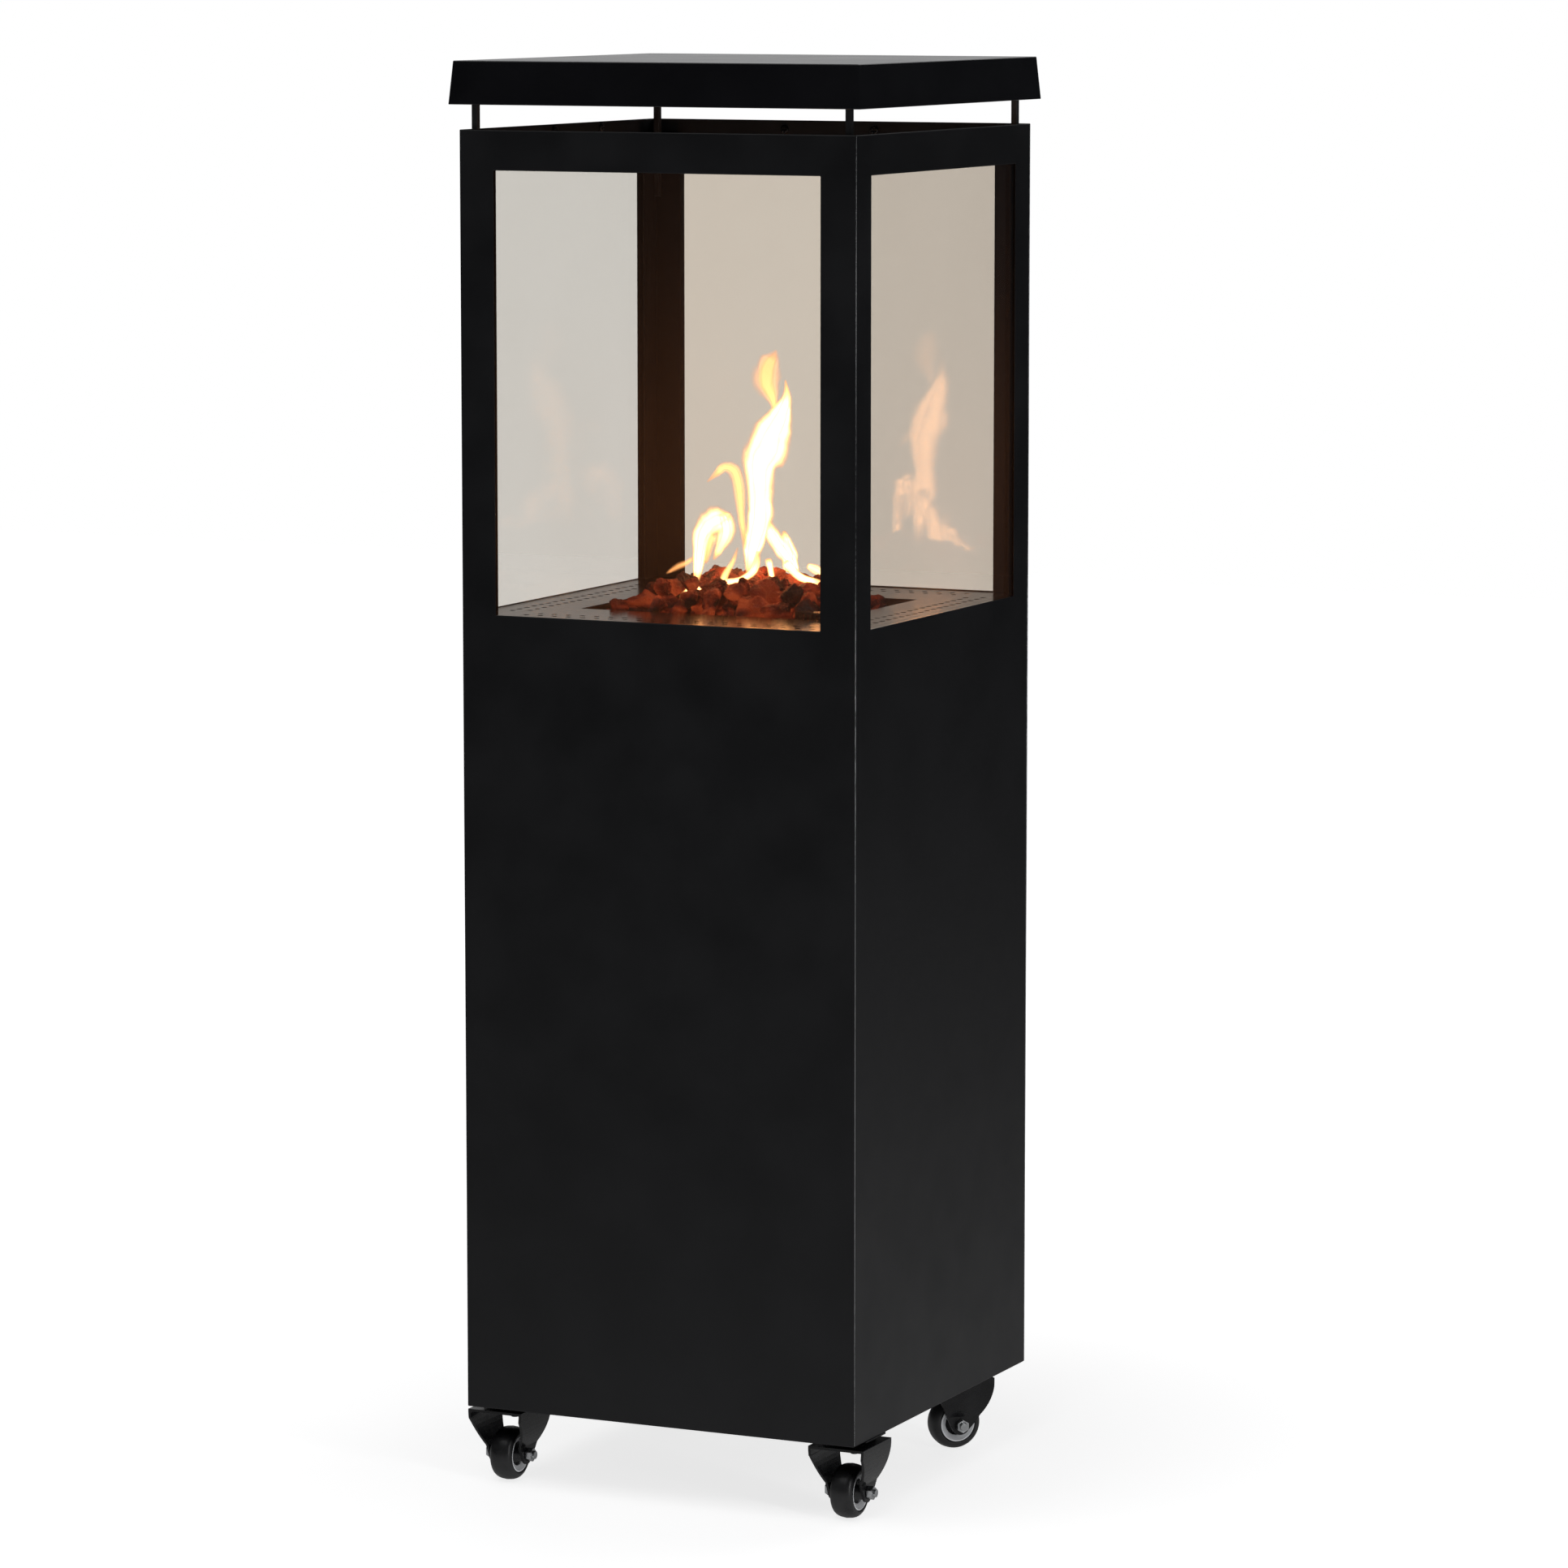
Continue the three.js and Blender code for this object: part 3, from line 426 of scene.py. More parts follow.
def flame_paint():
    """A flame: nearly white where it is thick, orange and thin at its edges.

    The mesh carries three values at each point: across is -1 to 1 over the width, along is 0 to 1
    from root to tip, and glow_level is the brightness there.
    """
    paint, tree, out = new_paint("flame")
    paint.use_backface_culling = False

    def carried(key):
        return node(tree, "Attribute", attribute_name=key).outputs["Fac"]

    ripple = between(tree, cloud(tree, (48, 48, 24), detail=2.5, distortion=0.6),
                     0.3, 0.7, -0.20, 0.20)
    edge = plus(tree, math_node(tree, "ABSOLUTE", carried("across")), ripple)
    body = node(tree, "MapRange", {"Value": edge, 1: 1.06, 2: 0.42, 3: 0.0, 4: 1.0},
                interpolation_type="SMOOTHSTEP").outputs[0]
    root = between(tree, carried("along"), 0.0, 0.10, 0.2, 1.0)
    tip = between(tree, carried("along"), 0.80, 1.0, 1.0, 0.2)
    heat = times(tree, times(tree, body, carried("glow_level")), times(tree, root, tip))
    light = node(tree, "Emission", {
        "Color": ramp(tree, heat, [
            (0.0, (1.0, 0.38, 0.12)),
            (0.5, (1.0, 0.44, 0.15)),
            (1.0, (1.0, 0.46, 0.17)),
        ]),
        "Strength": between(tree, times(tree, heat, heat), 0.0, 0.8, 1.5, 11.0),
    })
    clear = node(tree, "BsdfTransparent", {"Color": (1, 1, 1, 1)})
    cover = math_node(tree, "MINIMUM", times(tree, heat, 0.70), 0.8)
    finish(tree, node(tree, "MixShader", {0: cover, 1: clear.outputs[0], 2: light.outputs[0]}), out)
    return paint


BLACK, COAL = (0.0065, 0.0065, 0.0078), (0.0095, 0.0095, 0.0112)
FINISHES = {
    "black_powder_coat": dict(dark=BLACK, light=COAL, rough=(0.36, 0.50), specular=0.42,
                              grain=1500, depth=0.00003, strength=0.35),
    "canopy_coat": dict(dark=BLACK, light=COAL, rough=(0.14, 0.20), specular=0.5,
                        grain=1200, depth=0.00002, strength=0.25),
    "post_steel": dict(dark=(0.010, 0.010, 0.011), light=(0.030, 0.029, 0.028),
                       rough=(0.28, 0.42), specular=0.6, grain=700, stretch=(1, 1, 0.05)),
    "shield_steel": dict(dark=(0.40, 0.38, 0.36), light=(0.52, 0.50, 0.47), rough=(0.26, 0.42),
                         metallic=1.0, stretch=(0.03, 1, 1), strength=0.2),
    "heated_steel": dict(dark=(0.018, 0.012, 0.010), light=(0.060, 0.042, 0.034),
                         rough=(0.42, 0.66), metallic=0.7, patch=30),
    "copper_tube": dict(dark=(0.50, 0.22, 0.12), light=(0.74, 0.40, 0.26), rough=(0.22, 0.40),
                        metallic=1.0, patch=40, strength=0.2),
    "ceramic": dict(dark=(0.70, 0.67, 0.60), light=(0.86, 0.84, 0.79), rough=(0.22, 0.34),
                    patch=60, strength=0.15, coat=0.5),
    "brass": dict(dark=(0.48, 0.33, 0.13), light=(0.68, 0.50, 0.24), rough=(0.20, 0.36),
                  metallic=1.0, patch=50, strength=0.2),
    "zinc_plate": dict(dark=(0.42, 0.43, 0.44), light=(0.68, 0.69, 0.70), rough=(0.18, 0.34),
                       metallic=1.0, patch=70, strength=0.25),
    "black_plastic": dict(dark=(0.012, 0.012, 0.013), light=(0.020, 0.020, 0.021),
                          rough=(0.40, 0.55), patch=40, grain=2200, strength=0.5),
    "red_plastic": dict(dark=(0.36, 0.012, 0.010), light=(0.46, 0.022, 0.016),
                        rough=(0.22, 0.32), patch=60, grain=1800, strength=0.15, coat=0.3),
    "fork_coat": dict(dark=(0.006, 0.006, 0.007), light=(0.011, 0.011, 0.012),
                      rough=(0.22, 0.34), specular=0.35, patch=50, grain=800, strength=0.3),
    "tyre_rubber": dict(dark=(0.009, 0.009, 0.010), light=(0.020, 0.020, 0.021),
                        rough=(0.24, 0.44), specular=0.5, patch=60, grain=600, strength=0.4),
    "hub_plastic": dict(dark=(0.60, 0.61, 0.63), light=(0.72, 0.73, 0.75),
                        rough=(0.34, 0.46), patch=60, grain=1500, strength=0.3),
}

# One finish for each material slot of the CAD frame, and then those that only some pieces have.
PAINTS = {name: surface(name, **look) for name, look in FINISHES.items()}
PAINTS["deck_steel"] = deck_paint()
PAINTS["lava_rock"] = lava_paint()
PAINTS["window_glass"] = glass_paint("window_glass", dark=(0.922, 0.912, 0.892),
                                     light=(0.938, 0.930, 0.912), haze=(0.005, 0.010))
# The rear pane, behind the flames, is tinted warmer than the others: painted warm flame glow in what is seen
# through it, with a thicker film of soot.
REAR_GLASS_GLOW_PAINT = glass_paint("glow_tinted_glass", dark=(0.898, 0.852, 0.798),
                               light=(0.918, 0.876, 0.824), haze=(0.030, 0.055))
# Near-black with a brown cast: soot on the glass channels, and painted shade on the walls of the deck's air holes.
SOOT_AND_HOLE_SHADE_PAINT = surface("sooted_channel_and_hole_shade", dark=(0.0055, 0.0045, 0.0040),
                        light=(0.0085, 0.0065, 0.0058), rough=(0.62, 0.75), specular=0.16,
                        patch=9, grain=400, stretch=(1, 1, 0.03))
MARKING = surface("white_marking", dark=(0.66, 0.66, 0.64), light=(0.78, 0.78, 0.76),
                  rough=(0.4, 0.5), patch=80)
FLAME_PAINT = flame_paint()


# ---- Mesh helpers ----


def piece(name, mesh, body, slot=None, paint=None, replaces=()):
    """Makes an object of the mesh, gives it a finish and lets it ride on a CAD body."""
    made = link(bpy.data.objects.new(name, mesh))
    mesh.materials.clear()
    mesh.materials.append(paint or PAINTS[slot])
    if replaces:
        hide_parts(*replaces)
    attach(made, body)
    return made


def mesh_of(name, build, smooth=True):
    """A mesh from a function that fills a bmesh."""
    made = bmesh.new()
    build(made)
    bmesh.ops.recalc_face_normals(made, faces=made.faces)
    mesh = bpy.data.meshes.new(name)
    made.to_mesh(mesh)
    made.free()
    for polygon in mesh.polygons:
        polygon.use_smooth = smooth
    return mesh


def around(centre, radius, count):
    """Points (x, y) evenly spaced on a circle."""
    turns = [2 * math.pi * i / count for i in range(count)]
    return [(centre[0] + radius * math.cos(a), centre[1] + radius * math.sin(a)) for a in turns]


def lathed(made, profile, matrix, segments=64):
    """Adds the (radius, axial) profile turned about matrix's Z axis.

    A profile that starts and ends on the axis is solid, and any other is closed on itself.
    """
    rings = []
    for radius, axial in profile:
        circle = around((0, 0), radius, segments) if radius else [(0, 0)]
        rings.append([made.verts.new(matrix @ Vector((x, y, axial))) for x, y in circle])
    closed = len(rings[0]) > 1 and len(rings[-1]) > 1
    pairs = list(zip(rings, rings[1:])) + ([(rings[-1], rings[0])] if closed else [])
    for low, high in pairs:
        for i in range(segments):
            j = (i + 1) % segments
            if len(low) == 1 and len(high) > 1:
                made.faces.new((low[0], high[i], high[j]))
            elif len(high) == 1 and len(low) > 1:
                made.faces.new((low[i], low[j], high[0]))
            elif len(low) > 1:
                made.faces.new((low[i], low[j], high[j], high[i]))


def mirrored_profile(half):
    """A closed profile from the half on the positive side of the middle."""
    return [(r, -z) for r, z in half] + half[::-1]


def facing(place, axis):
    """A matrix at place whose Z axis points along axis."""
    turn = Vector(axis).to_track_quat("Z", "Y").to_matrix().to_4x4()
    return Matrix.Translation(Vector(place)) @ turn


def turned(x, y, quarters):
    """The level point (x, y) after some quarter turns about the heater's axis."""
    for _ in range(quarters):
        x, y = -y, x
    return x, y


def weld_corners(target):
    """Joins the CAD mesh's vertices, which come split at every sharp edge."""
    target.modifiers.new("weld", "WELD").merge_threshold = WELD_REACH


def soften(target, width):
    """Rounds a CAD node's sharp edges."""
    weld_corners(target)
    bevel = target.modifiers.new("round_edges", "BEVEL")
    bevel.width = width
    bevel.segments = EDGE_SEGMENTS
    bevel.limit_method = "ANGLE"
    bevel.angle_limit = EDGE_ANGLE


# ---- CAD nodes that stay as they are ----

EDGE_WIDTHS = {
    "black_powder_coat": 0.8 * MM,
    "canopy_coat": 0.7 * MM,
    "post_steel": 0.6 * MM,
    "black_plastic": 0.9 * MM,
    "fork_coat": 0.8 * MM,
    "zinc_plate": 0.4 * MM,
    "brass": 0.4 * MM,
    "shield_steel": 0.4 * MM,
    "red_plastic": 0.3 * MM,
    "heated_steel": 0.4 * MM,
}


def finish_cad_nodes():
    """Gives every CAD node the finish of its slot, and rounds the edges of those in EDGE_WIDTHS."""
    for row in frame["record"]["subparts"]:
        target = NODES[row["node"]]
        slot = row["material_slot"]
        paint = PAINTS[slot]
        if row["node"].startswith("glass_channel"):
            paint = SOOT_AND_HOLE_SHADE_PAINT
        if row["node"] == "glass_rear":
            paint = REAR_GLASS_GLOW_PAINT
        target.data.materials.clear()
        target.data.materials.append(paint)
        if slot in EDGE_WIDTHS:
            soften(target, EDGE_WIDTHS[slot])


# ---- Deck with its rows of air holes ----


def hole_cutter(made, x, y):
    """Adds one upright prism that cuts a round hole."""
    points = around((x, y), HOLE_RADIUS, HOLE_SIDES)
    bottom = [made.verts.new((*p, DECK_TOP - 5 * MM)) for p in points]
    top = [made.verts.new((*p, DECK_TOP + 2 * MM)) for p in points]
    made.faces.new(list(reversed(bottom)))
    made.faces.new(top)
    for i in range(HOLE_SIDES):
        j = (i + 1) % HOLE_SIDES
        made.faces.new((bottom[i], bottom[j], top[j], top[i]))


def hole_cutters(made):
    for out, half_count, shift in HOLE_ROWS:
        for i in range(-half_count, half_count + (shift == 0)):
            along = (i + shift) * HOLE_PITCH
            for side in (-1, 1):
                hole_cutter(made, side * out, along)
                hole_cutter(made, along, side * out)


def cut_deck_holes():
    """Makes the deck again with its holes, whose walls get the near-black sooted finish as painted shade inside
    the holes.
    """
    cutter = link(bpy.data.objects.new("deck_hole_cutter", mesh_of("deck_hole_cutter", hole_cutters)))
    deck = NODES["deck_plate"]
    weld_corners(deck)
    cut = deck.modifiers.new("air_holes", "BOOLEAN")
    cut.object = cutter
    cut.solver = "EXACT"
    bpy.context.view_layer.update()
    depsgraph = bpy.context.evaluated_depsgraph_get()
    mesh = bpy.data.meshes.new_from_object(deck.evaluated_get(depsgraph))
    mesh.name = "pierced_deck"
    bpy.data.objects.remove(cutter)
    deck.modifiers.clear()
    piece("pierced_deck", mesh, "root", "deck_steel", replaces=["deck_plate"])
    # The hole walls get the near-black finish: painted shade inside the holes, not the steel's own colour.
    mesh.materials.append(SOOT_AND_HOLE_SHADE_PAINT)
    for polygon in mesh.polygons:
        x, y, z = polygon.center
        polygon.use_smooth = False
        in_sheet = z > DECK_TOP - DECK_SHEET
        in_band = HOLE_BAND[0] < max(abs(x), abs(y)) < HOLE_BAND[1]
        polygon.material_index = int(in_sheet and in_band and abs(polygon.normal.z) < 0.5)


# ---- Lava rocks ----


def rock_shape(radius, seed, detail):
    """The vertices and faces of one lump: a ball cut by flat breaks, with ridged pits on them."""
    made = bmesh.new()
    bmesh.ops.create_icosphere(made, subdivisions=detail, radius=1.0)
    directions = np.array([v.co[:] for v in made.verts])
    faces = np.array([[v.index for v in f.verts] for f in made.faces])
    made.free()
    draw = np.random.default_rng(seed)
    normals = draw.normal(size=(ROCK_FACETS, 3))
    normals /= np.linalg.norm(normals, axis=1)[:, None]
    offsets = draw.uniform(0.60, 1.0, ROCK_FACETS)
    towards = directions @ normals.T
    reach = np.where(towards > 0.05, offsets / np.maximum(towards, 0.05), 9.0).min(axis=1)
    reach = np.minimum(reach, 1.25)
    pace = np.geomspace(4.0, 22.0, ROCK_WAVES)
    waves = draw.normal(size=(ROCK_WAVES, 3)) * pace[:, None]
    phases = draw.uniform(0, 2 * math.pi, ROCK_WAVES)
    lumps = np.abs(np.sin(directions @ waves.T + phases)) @ (0.30 / pace) - 0.16
    reach = reach * (1 + lumps)
    squash = draw.uniform(0.78, 1.12, 3)
    turn = np.linalg.qr(draw.normal(size=(3, 3)))[0]
    return (directions * reach[:, None] * squash) @ turn * radius, faces


def heap_top(x, y):
    """How high the rocks may reach: a mound that leaves the pan's left and right ends low."""
    u, v = abs(x) / HEAP_HALF_X, abs(y - HEAP_MIDDLE_Y) / HEAP_HALF_Y
    mound = max(0.0, 1 - u ** 3.0) ** 0.7 * max(0.0, 1 - v ** 4.0) ** 0.5
    return PAN_LOW.z + HEAP_EDGE + mound * HEAP_RISE


def beside_pilot(x, y, radius):
    return (PILOT_LOW.x - radius < x < PILOT_HIGH.x + radius
            and PILOT_LOW.y - radius < y < PILOT_HIGH.y + radius)


def place_rocks():
    """Drops rocks one at a time on to those already there, and keeps those below the heap's top."""
    rng = random.Random(7)
    placed = []
    for _ in range(ROCK_TRIES):
        radius = rng.uniform(*ROCK_RADII) * MM
        x = rng.uniform(PAN_LOW.x + radius, PAN_HIGH.x - radius)
        y = rng.uniform(PAN_LOW.y + radius, PAN_HIGH.y - radius)
        if beside_pilot(x, y, radius):
            continue
        z = PAN_LOW.z + radius * 0.9
        for other_x, other_y, other_z, other_radius in placed:
            apart = math.hypot(x - other_x, y - other_y)
            touch = (radius + other_radius) * 0.98
            if apart < touch:
                z = max(z, other_z + math.sqrt(touch * touch - apart * apart))
        if z + radius * 0.9 < heap_top(x, y):
            placed.append((x, y, z, radius))
    return placed


def add_rocks():
    points, faces, count = [], [], 0
    for seed, (x, y, z, radius) in enumerate(place_rocks()):
        buried = z + radius < heap_top(x, y) - HEAP_SKIN
        shape, triangles = rock_shape(radius, seed, 2 if buried else 4)
        points.append(shape + np.array([x, y, z]))
        faces.append(triangles + count)
        count += len(shape)
    points = np.concatenate(points)
    points[:, 2] = np.clip(points[:, 2], PAN_LOW.z, CAD_BOX[1].z)
    mesh = bpy.data.meshes.new("lava_rocks")
    mesh.from_pydata(points.tolist(), [], np.concatenate(faces).tolist())
    piece("lava_rocks", mesh, "root", "lava_rock", replaces=["lava_rock_bed"])


# ---- Flames ----

# Each tongue is (name, depth, (brightness at root, at tip), stations). A station is (sideways,
# height above the floor, half width) in mm, sideways being along VIEW_SIDE. depth is how far, in
# mm, the tongue stands behind the middle of the burner.
TONGUES = (
    ("flame_main", 0, (1.0, 0.9), (
        (0, 852, 5), (1.5, 870, 8), (5, 887, 12.5), (9.5, 908, 14), (10, 928, 13.5), (9, 948, 16),
        (10, 961, 20), (16, 973, 22), (20, 985, 21), (26, 997, 16), (31, 1009, 11),
        (34.5, 1019, 7.5), (35, 1027, 4.5), (33.5, 1038, 1))),
    ("flame_shoulder", 8, (0.9, 1.0), (
        (45, 854, 3), (38, 867, 7), (29, 879, 9.5), (21, 891, 10), (14, 906, 8))),
    ("flame_crown", 4, (0.42, 0.30), (
        (25, 1005, 3), (22.5, 1017, 5), (20, 1025, 10), (16, 1034, 14), (15.5, 1043, 15.5),
        (18, 1052, 13), (22, 1059, 8), (25, 1066, 2))),
    ("flame_hook", -8, (0.40, 0.42), (
        (-4, 880, 3), (-7.5, 908, 5), (-9, 926, 6), (-11, 943, 7), (-15, 954, 7),
        (-23.5, 957, 5.5), (-31, 951, 3.5), (-40, 943, 1))),
    ("flame_left", -14, (0.85, 0.9), (
        (-50, 850, 3.5), (-48, 866, 5.5), (-46.5, 881, 7.5), (-44, 894, 11), (-37, 904, 15),
        (-28, 909, 13.5), (-18, 911, 5))),
    ("flame_left_return", -12, (1.0, 0.5), (
        (-26, 914, 8), (-23.5, 907, 10.5), (-22, 897, 10.5), (-25.5, 887, 8), (-30, 878, 5),
        (-34, 870, 2))),
    ("flame_left_heart", -10, (0.25, 0.55), ((-42, 866, 3), (-39, 882, 8), (-36, 897, 11))),
    ("flame_right", 12, (0.95, 0.8), (
        (35, 856, 4), (37, 870, 8.5), (34.5, 882, 7), (32, 895, 2.5))),
    ("flame_low_left", -30, (0.7, 0.85), (
        (-65, 836, 2.5), (-55, 844, 3.2), (-40, 844.5, 3.4), (-28, 850, 3.4), (-13, 852, 3.6),
        (-1, 857, 4), (6, 867, 4.5), (8, 880, 3))),
    ("flame_low_right", -12, (0.9, 0.85), (
        (34, 869, 4), (38, 863, 5), (46, 855, 4.5), (56, 850.5, 4), (70, 848, 3))),
    ("flame_far_right", 6, (0.7, 0.7), ((54, 863, 2.5), (62, 859, 5.5), (73, 853, 3))),
    ("flame_stem", -38, (0.75, 0.30), (
        (-26.5, 832, 3), (-25.5, 846, 4.5), (-23.5, 857, 4), (-16, 870, 3), (-11, 884, 1.5))),
    ("flame_small_front", -52, (0.75, 0.7), ((28.5, 832, 3), (26.5, 842, 4.8), (24.5, 850, 1.5))),
    ("flame_blob", -40, (0.8, 0.7), (
        (-62, 832, 2), (-52, 834, 4), (-41, 839, 2.5), (-34, 845, 1.5))),
    ("flame_root_middle", -20, (0.8, 0.9), ((22, 846, 2.5), (19.5, 860, 3.6), (17, 872, 4))),
    ("flame_wisp", 20, (0.20, 0.40), (
        (-79, 854, 1.5), (-68, 860.5, 4), (-60, 864, 4), (-52, 870, 2))),
)


def smooth_line(stations, steps=7):
    """Catmull-Rom points through the stations, as an array with one row a point."""
    rows = np.array(stations, float)
    padded = np.vstack([2 * rows[0] - rows[1], rows, 2 * rows[-1] - rows[-2]])
    line = []
    for i in range(len(rows) - 1):
        a, b, c, d = padded[i:i + 4]
        for t in np.linspace(0, 1, steps, endpoint=False):
            line.append(0.5 * (2 * b + (c - a) * t + (2 * a - 5 * b + 4 * c - d) * t ** 2
                               + (3 * b - a - 3 * c + d) * t ** 3))
    line.append(rows[-1])
    return np.array(line)


def flame_tongue(name, depth, heat, stations):
    """One tongue of flame: crossed thin blades along a smooth line."""
    line = smooth_line(stations)
    line[:, 2] = np.maximum(line[:, 2], 0.4)
    side, away = np.array(VIEW_SIDE), np.array(VIEW_AWAY)
    up = np.array([0.0, 0.0, 1.0])
    centres = (np.outer(line[:, 0], side) + np.outer(line[:, 1], up) + depth * away) * MM
    slopes = np.gradient(line[:, :2], axis=0)
    slopes /= np.linalg.norm(slopes, axis=1)[:, None] + 1e-9
    points, faces, across, along, glow_levels = [], [], [], [], []
    for blade in range(BLADES):
        turn = math.pi * blade / BLADES
        for face in (1, -1):
            start = len(points)
            for i, centre in enumerate(centres):
                level = slopes[i, 1] * side - slopes[i, 0] * up
                spread = level * math.cos(turn) + away * math.sin(turn)
                through = -level * math.sin(turn) + away * math.cos(turn)
                half = line[i, 2] * MM
                share = i / (len(centres) - 1)
                swell = 1 - abs(2 * share - 1) ** 6
                for j in range(BLADE_COLUMNS):
                    a = 2 * j / (BLADE_COLUMNS - 1) - 1
                    bulge = face * 0.05 * half * (1 - a * a) * swell
                    points.append(centre + spread * a * half + through * bulge)
                    across.append(a)
                    along.append(share)
                    glow_levels.append(heat[0] + (heat[1] - heat[0]) * share)
            for i in range(len(centres) - 1):
                for j in range(BLADE_COLUMNS - 1):
                    k = start + i * BLADE_COLUMNS + j
                    quad = (k, k + 1, k + BLADE_COLUMNS + 1, k + BLADE_COLUMNS)
                    faces.append(quad if face > 0 else quad[::-1])
    mesh = bpy.data.meshes.new(name)
    mesh.from_pydata([tuple(p) for p in points], [], faces)
    for key, values in (("across", across), ("along", along), ("glow_level", glow_levels)):
        mesh.attributes.new(key, "FLOAT", "POINT").data.foreach_set("value", values)
    welded = bmesh.new()
    welded.from_mesh(mesh)
    bmesh.ops.remove_doubles(welded, verts=welded.verts, dist=0.000001)
    welded.to_mesh(mesh)
    welded.free()
    for polygon in mesh.polygons:
        polygon.use_smooth = True
    piece(name, mesh, "root", paint=FLAME_PAINT).visible_shadow = False


def add_flames():
    for tongue in TONGUES:
        flame_tongue(*tongue)
    data = bpy.data.lights.new("flame_glow", "POINT")
    data.energy = GLOW_WATTS
    data.color = (1.0, 0.34, 0.12)
    data.shadow_soft_size = 0.05
    glow = link(bpy.data.objects.new("flame_glow", data))
    glow.location = GLOW_PLACE
    glow.visible_camera = False
    glow.visible_glossy = False


# ---- Screws ----


def pan_head(made, place, axis, radius):
    """Adds a domed screw head with a cross recess, standing on place and facing along axis."""
    matrix = facing(place, axis)
    rings, segments = 9, 32
    height = radius * 0.55
    arm, arm_end, sunk = radius * 0.15, radius * 0.58, height * 0.6

    def point(r, a):
        x, y = r * math.cos(a), r * math.sin(a)
        z = height * (1 - (r / radius) ** 3.2) ** 0.5 if r < radius else 0.0
        inside = min(abs(x), abs(y)) < arm and max(abs(x), abs(y)) < arm_end
        return matrix @ Vector((x, y, z - (sunk if inside else 0.0)))

    centre = made.verts.new(point(0, 0))
    base = made.verts.new(matrix @ Vector((0, 0, 0)))
    previous = None
    for ring in range(1, rings + 1):
        r = radius * ring / rings
        verts = [made.verts.new(point(r, 2 * math.pi * i / segments)) for i in range(segments)]
        for i in range(segments):
            j = (i + 1) % segments
            if previous is None:
                made.faces.new((centre, verts[i], verts[j]))
            else:
                made.faces.new((previous[i], verts[i], verts[j], previous[j]))
        previous = verts
    for i in range(segments):
        made.faces.new((base, previous[(i + 1) % segments], previous[i]))


def rim_screws(made):
    """Two heads inside the rim on each wall, facing the middle."""
    for quarter in range(4):
        first, second, drop = RIM_SCREWS[quarter % 2]
        for along in (first, second):
            place = (*turned(along, WALL, quarter), WALL_TOP - drop)
            pan_head(made, place, (*turned(0, -1, quarter), 0), RIM_SCREW_RADIUS)


def cup_screws(made):
    low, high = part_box("control_cup")
    for side in (-1, 1):
        place = (side * (high.x - CUP_SCREW_INSET), high.y, (low.z + high.z) / 2)
        pan_head(made, place, (0, 1, 0), CUP_SCREW_RADIUS)


def add_screws():
    piece("rim_screws", mesh_of("rim_screws", rim_screws), "root", "fork_coat")
    piece("cup_screws", mesh_of("cup_screws", cup_screws), "root", "zinc_plate")


# ---- Seams at the cabinet's corners, bare metal as a painted highlight ----


def corner_highlight_seams(made):
    """A thin bare metal line where each front and rear sheet meets a side sheet: the joint, made bright as a
    painted highlight along the corner.
    """
    length = WALL_TOP - WALL_BOTTOM - 2 * SEAM_END
    profile = [(0, 0), (SEAM_RADIUS, 0), (SEAM_RADIUS, length), (0, length)]
    for side in (-1, 1):
        for end in (-1, 1):
            place = (side * (WALL_OUTSIDE - SEAM_IN_X), end * (WALL_OUTSIDE - SEAM_IN_Y),
                     WALL_BOTTOM + SEAM_END)
            lathed(made, profile, Matrix.Translation(place), 10)


def add_seams():
    piece("corner_highlight_seams", mesh_of("corner_highlight_seams", corner_highlight_seams), "root", "zinc_plate")


# ---- Casters ----


def tyre_profile(low, high):
    """A fat rounded tread with a mould line: a closed profile from radius low out to high."""
    half_steps, roundness = 12, 2 / 2.5
    bead = WHEEL_HALF * 0.94
    points = [(low, -bead)]
    for i in range(2 * half_steps + 1):
        t = math.radians(-90 + 90 * i / half_steps)
        axial = WHEEL_HALF * math.copysign(abs(math.sin(t)) ** roundness, math.sin(t))
        mould_line = 0.2 * MM if i == half_steps else 0.0
        points.append((low + (high - low) * max(math.cos(t), 0.0) ** roundness + mould_line, axial))
    points.append((low, bead))
    return points


def hub_profiles():
    """The pale hub ring with its dished face, and the dark bearing cover inside it."""
    face = WHEEL_HALF * 0.93
    sunk = face - 2.6 * MM
    ring = [
        (HUB_INNER, sunk),
        (HUB_INNER + 0.5 * MM, sunk + 0.5 * MM),
        (HUB_OUTER - 1.6 * MM, face),
        (HUB_OUTER - 1.2 * MM, face + 0.6 * MM),
        (HUB_OUTER - 0.4 * MM, face + 0.6 * MM),
        (HUB_OUTER, face),
    ]
    cover = [
        (HUB_BORE, BOSS_HALF),
        (6.4 * MM, BOSS_HALF),
        (7.2 * MM, BOSS_HALF - 0.8 * MM),
        (7.6 * MM, sunk + 0.4 * MM),
        (HUB_INNER - 0.15 * MM, sunk - 1.0 * MM),
    ]
    return mirrored_profile(ring), mirrored_profile(cover)


def kingpin_nut(made, kingpin):
    """A hexagon nut on the kingpin's stub."""
    foot = Matrix.Translation((kingpin.x, kingpin.y, NUT_BOTTOM))
    nut = [(0, 0), (NUT_CORNER * 0.8, 0), (NUT_CORNER, 0.7 * MM), (NUT_CORNER, NUT_HEIGHT),
           (0, NUT_HEIGHT)]
    stub = [(0, -1.0 * MM), (3.2 * MM, -1.0 * MM), (STUD_RADIUS, -0.3 * MM),
            (STUD_RADIUS, 0.2 * MM), (0, 0.2 * MM)]
    lathed(made, nut, foot, 6)
    lathed(made, stub, foot, 24)


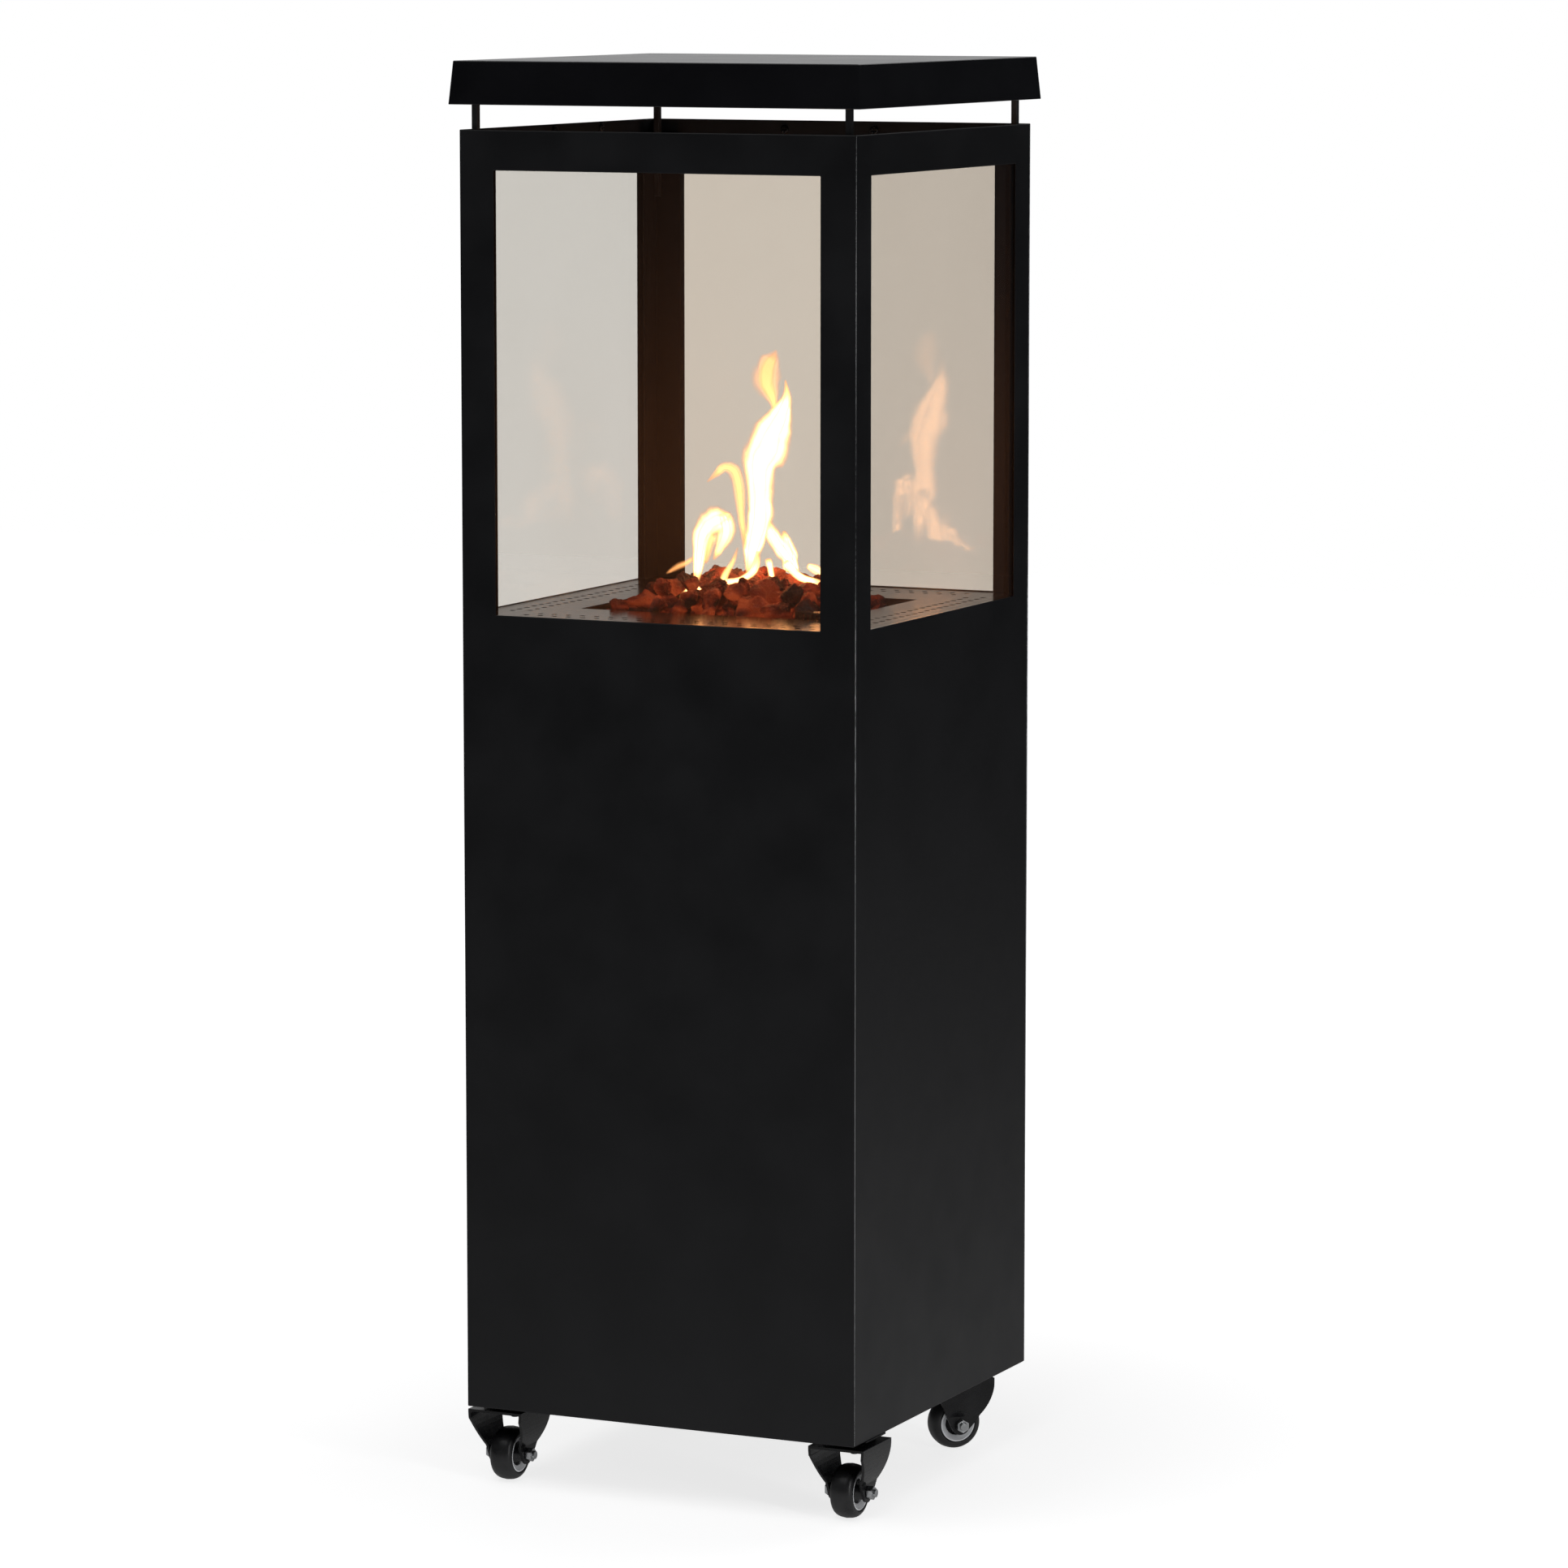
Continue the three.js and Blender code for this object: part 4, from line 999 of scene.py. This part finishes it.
def add_caster(corner):
    roll = JOINTS["wheel_roll_" + corner]
    kingpin = Vector(JOINTS["swivel_turn_" + corner]["pos_m"])
    axle = facing(roll["pos_m"], roll["axis"])
    tyre = tyre_profile(TYRE_BORE, roll["pos_m"][2] - TYRE_GAP)
    ring, cover = hub_profiles()
    turned_pieces = (
        ("tread", tyre, 96, "tyre_rubber", ["tyre_" + corner]),
        ("hub_ring", ring, 72, "hub_plastic", ["hub_" + corner]),
        ("hub_cover", cover, 48, "tyre_rubber", []),
    )
    for name, profile, segments, slot, replaced in turned_pieces:
        mesh = mesh_of(name, lambda made: lathed(made, profile, axle, segments))
        piece(name + "_" + corner, mesh, "wheel_" + corner, slot, replaces=replaced)
    mesh = mesh_of("kingpin_nut", lambda made: kingpin_nut(made, kingpin), smooth=False)
    piece("kingpin_nut_" + corner, mesh, "root", "zinc_plate")


# ---- Rear controls ----


def bar(made, low, high):
    """Adds a box between two corners."""
    low, high = Vector(low), Vector(high)
    bmesh.ops.create_cube(made, size=1.0, matrix=(
        Matrix.Translation((low + high) / 2) @ Matrix.Diagonal((*(high - low), 1))))


def add_control_marks():
    """The pointer on the knob, and dots that grow round the dial behind it."""
    knob = Vector(JOINTS["gas_knob_turn"]["pos_m"])
    knob_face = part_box("control_knob")[1].y
    cup_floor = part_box("control_cup")[0].y + CUP_SHEET

    def pointer(made):
        bar(made, (knob.x - POINTER_HALF, knob_face - POINTER_SUNK, knob.z + POINTER_FROM),
            (knob.x + POINTER_HALF, knob_face, knob.z + POINTER_TO))

    def dial(made):
        for i in range(DIAL_DOTS):
            a = math.radians(90 + 180 * i / (DIAL_DOTS - 1))
            place = (knob.x + DIAL_RADIUS * math.cos(a), cup_floor, knob.z + DIAL_RADIUS * math.sin(a))
            size = (0.6 + 0.14 * i) * MM
            profile = [(0, 0.35 * MM), (size * 0.8, 0.3 * MM), (size, 0), (0, 0)]
            lathed(made, profile, facing(place, (0, 1, 0)), 20)

    piece("knob_pointer", mesh_of("knob_pointer", pointer, smooth=False), "knob", paint=MARKING)
    piece("dial_marks", mesh_of("dial_marks", dial), "root", paint=MARKING)


# ---- The whole ----

add_studio()
finish_cad_nodes()
cut_deck_holes()
add_rocks()
add_flames()
add_screws()
add_seams()
for name in CORNERS:
    add_caster(name)
add_control_marks()
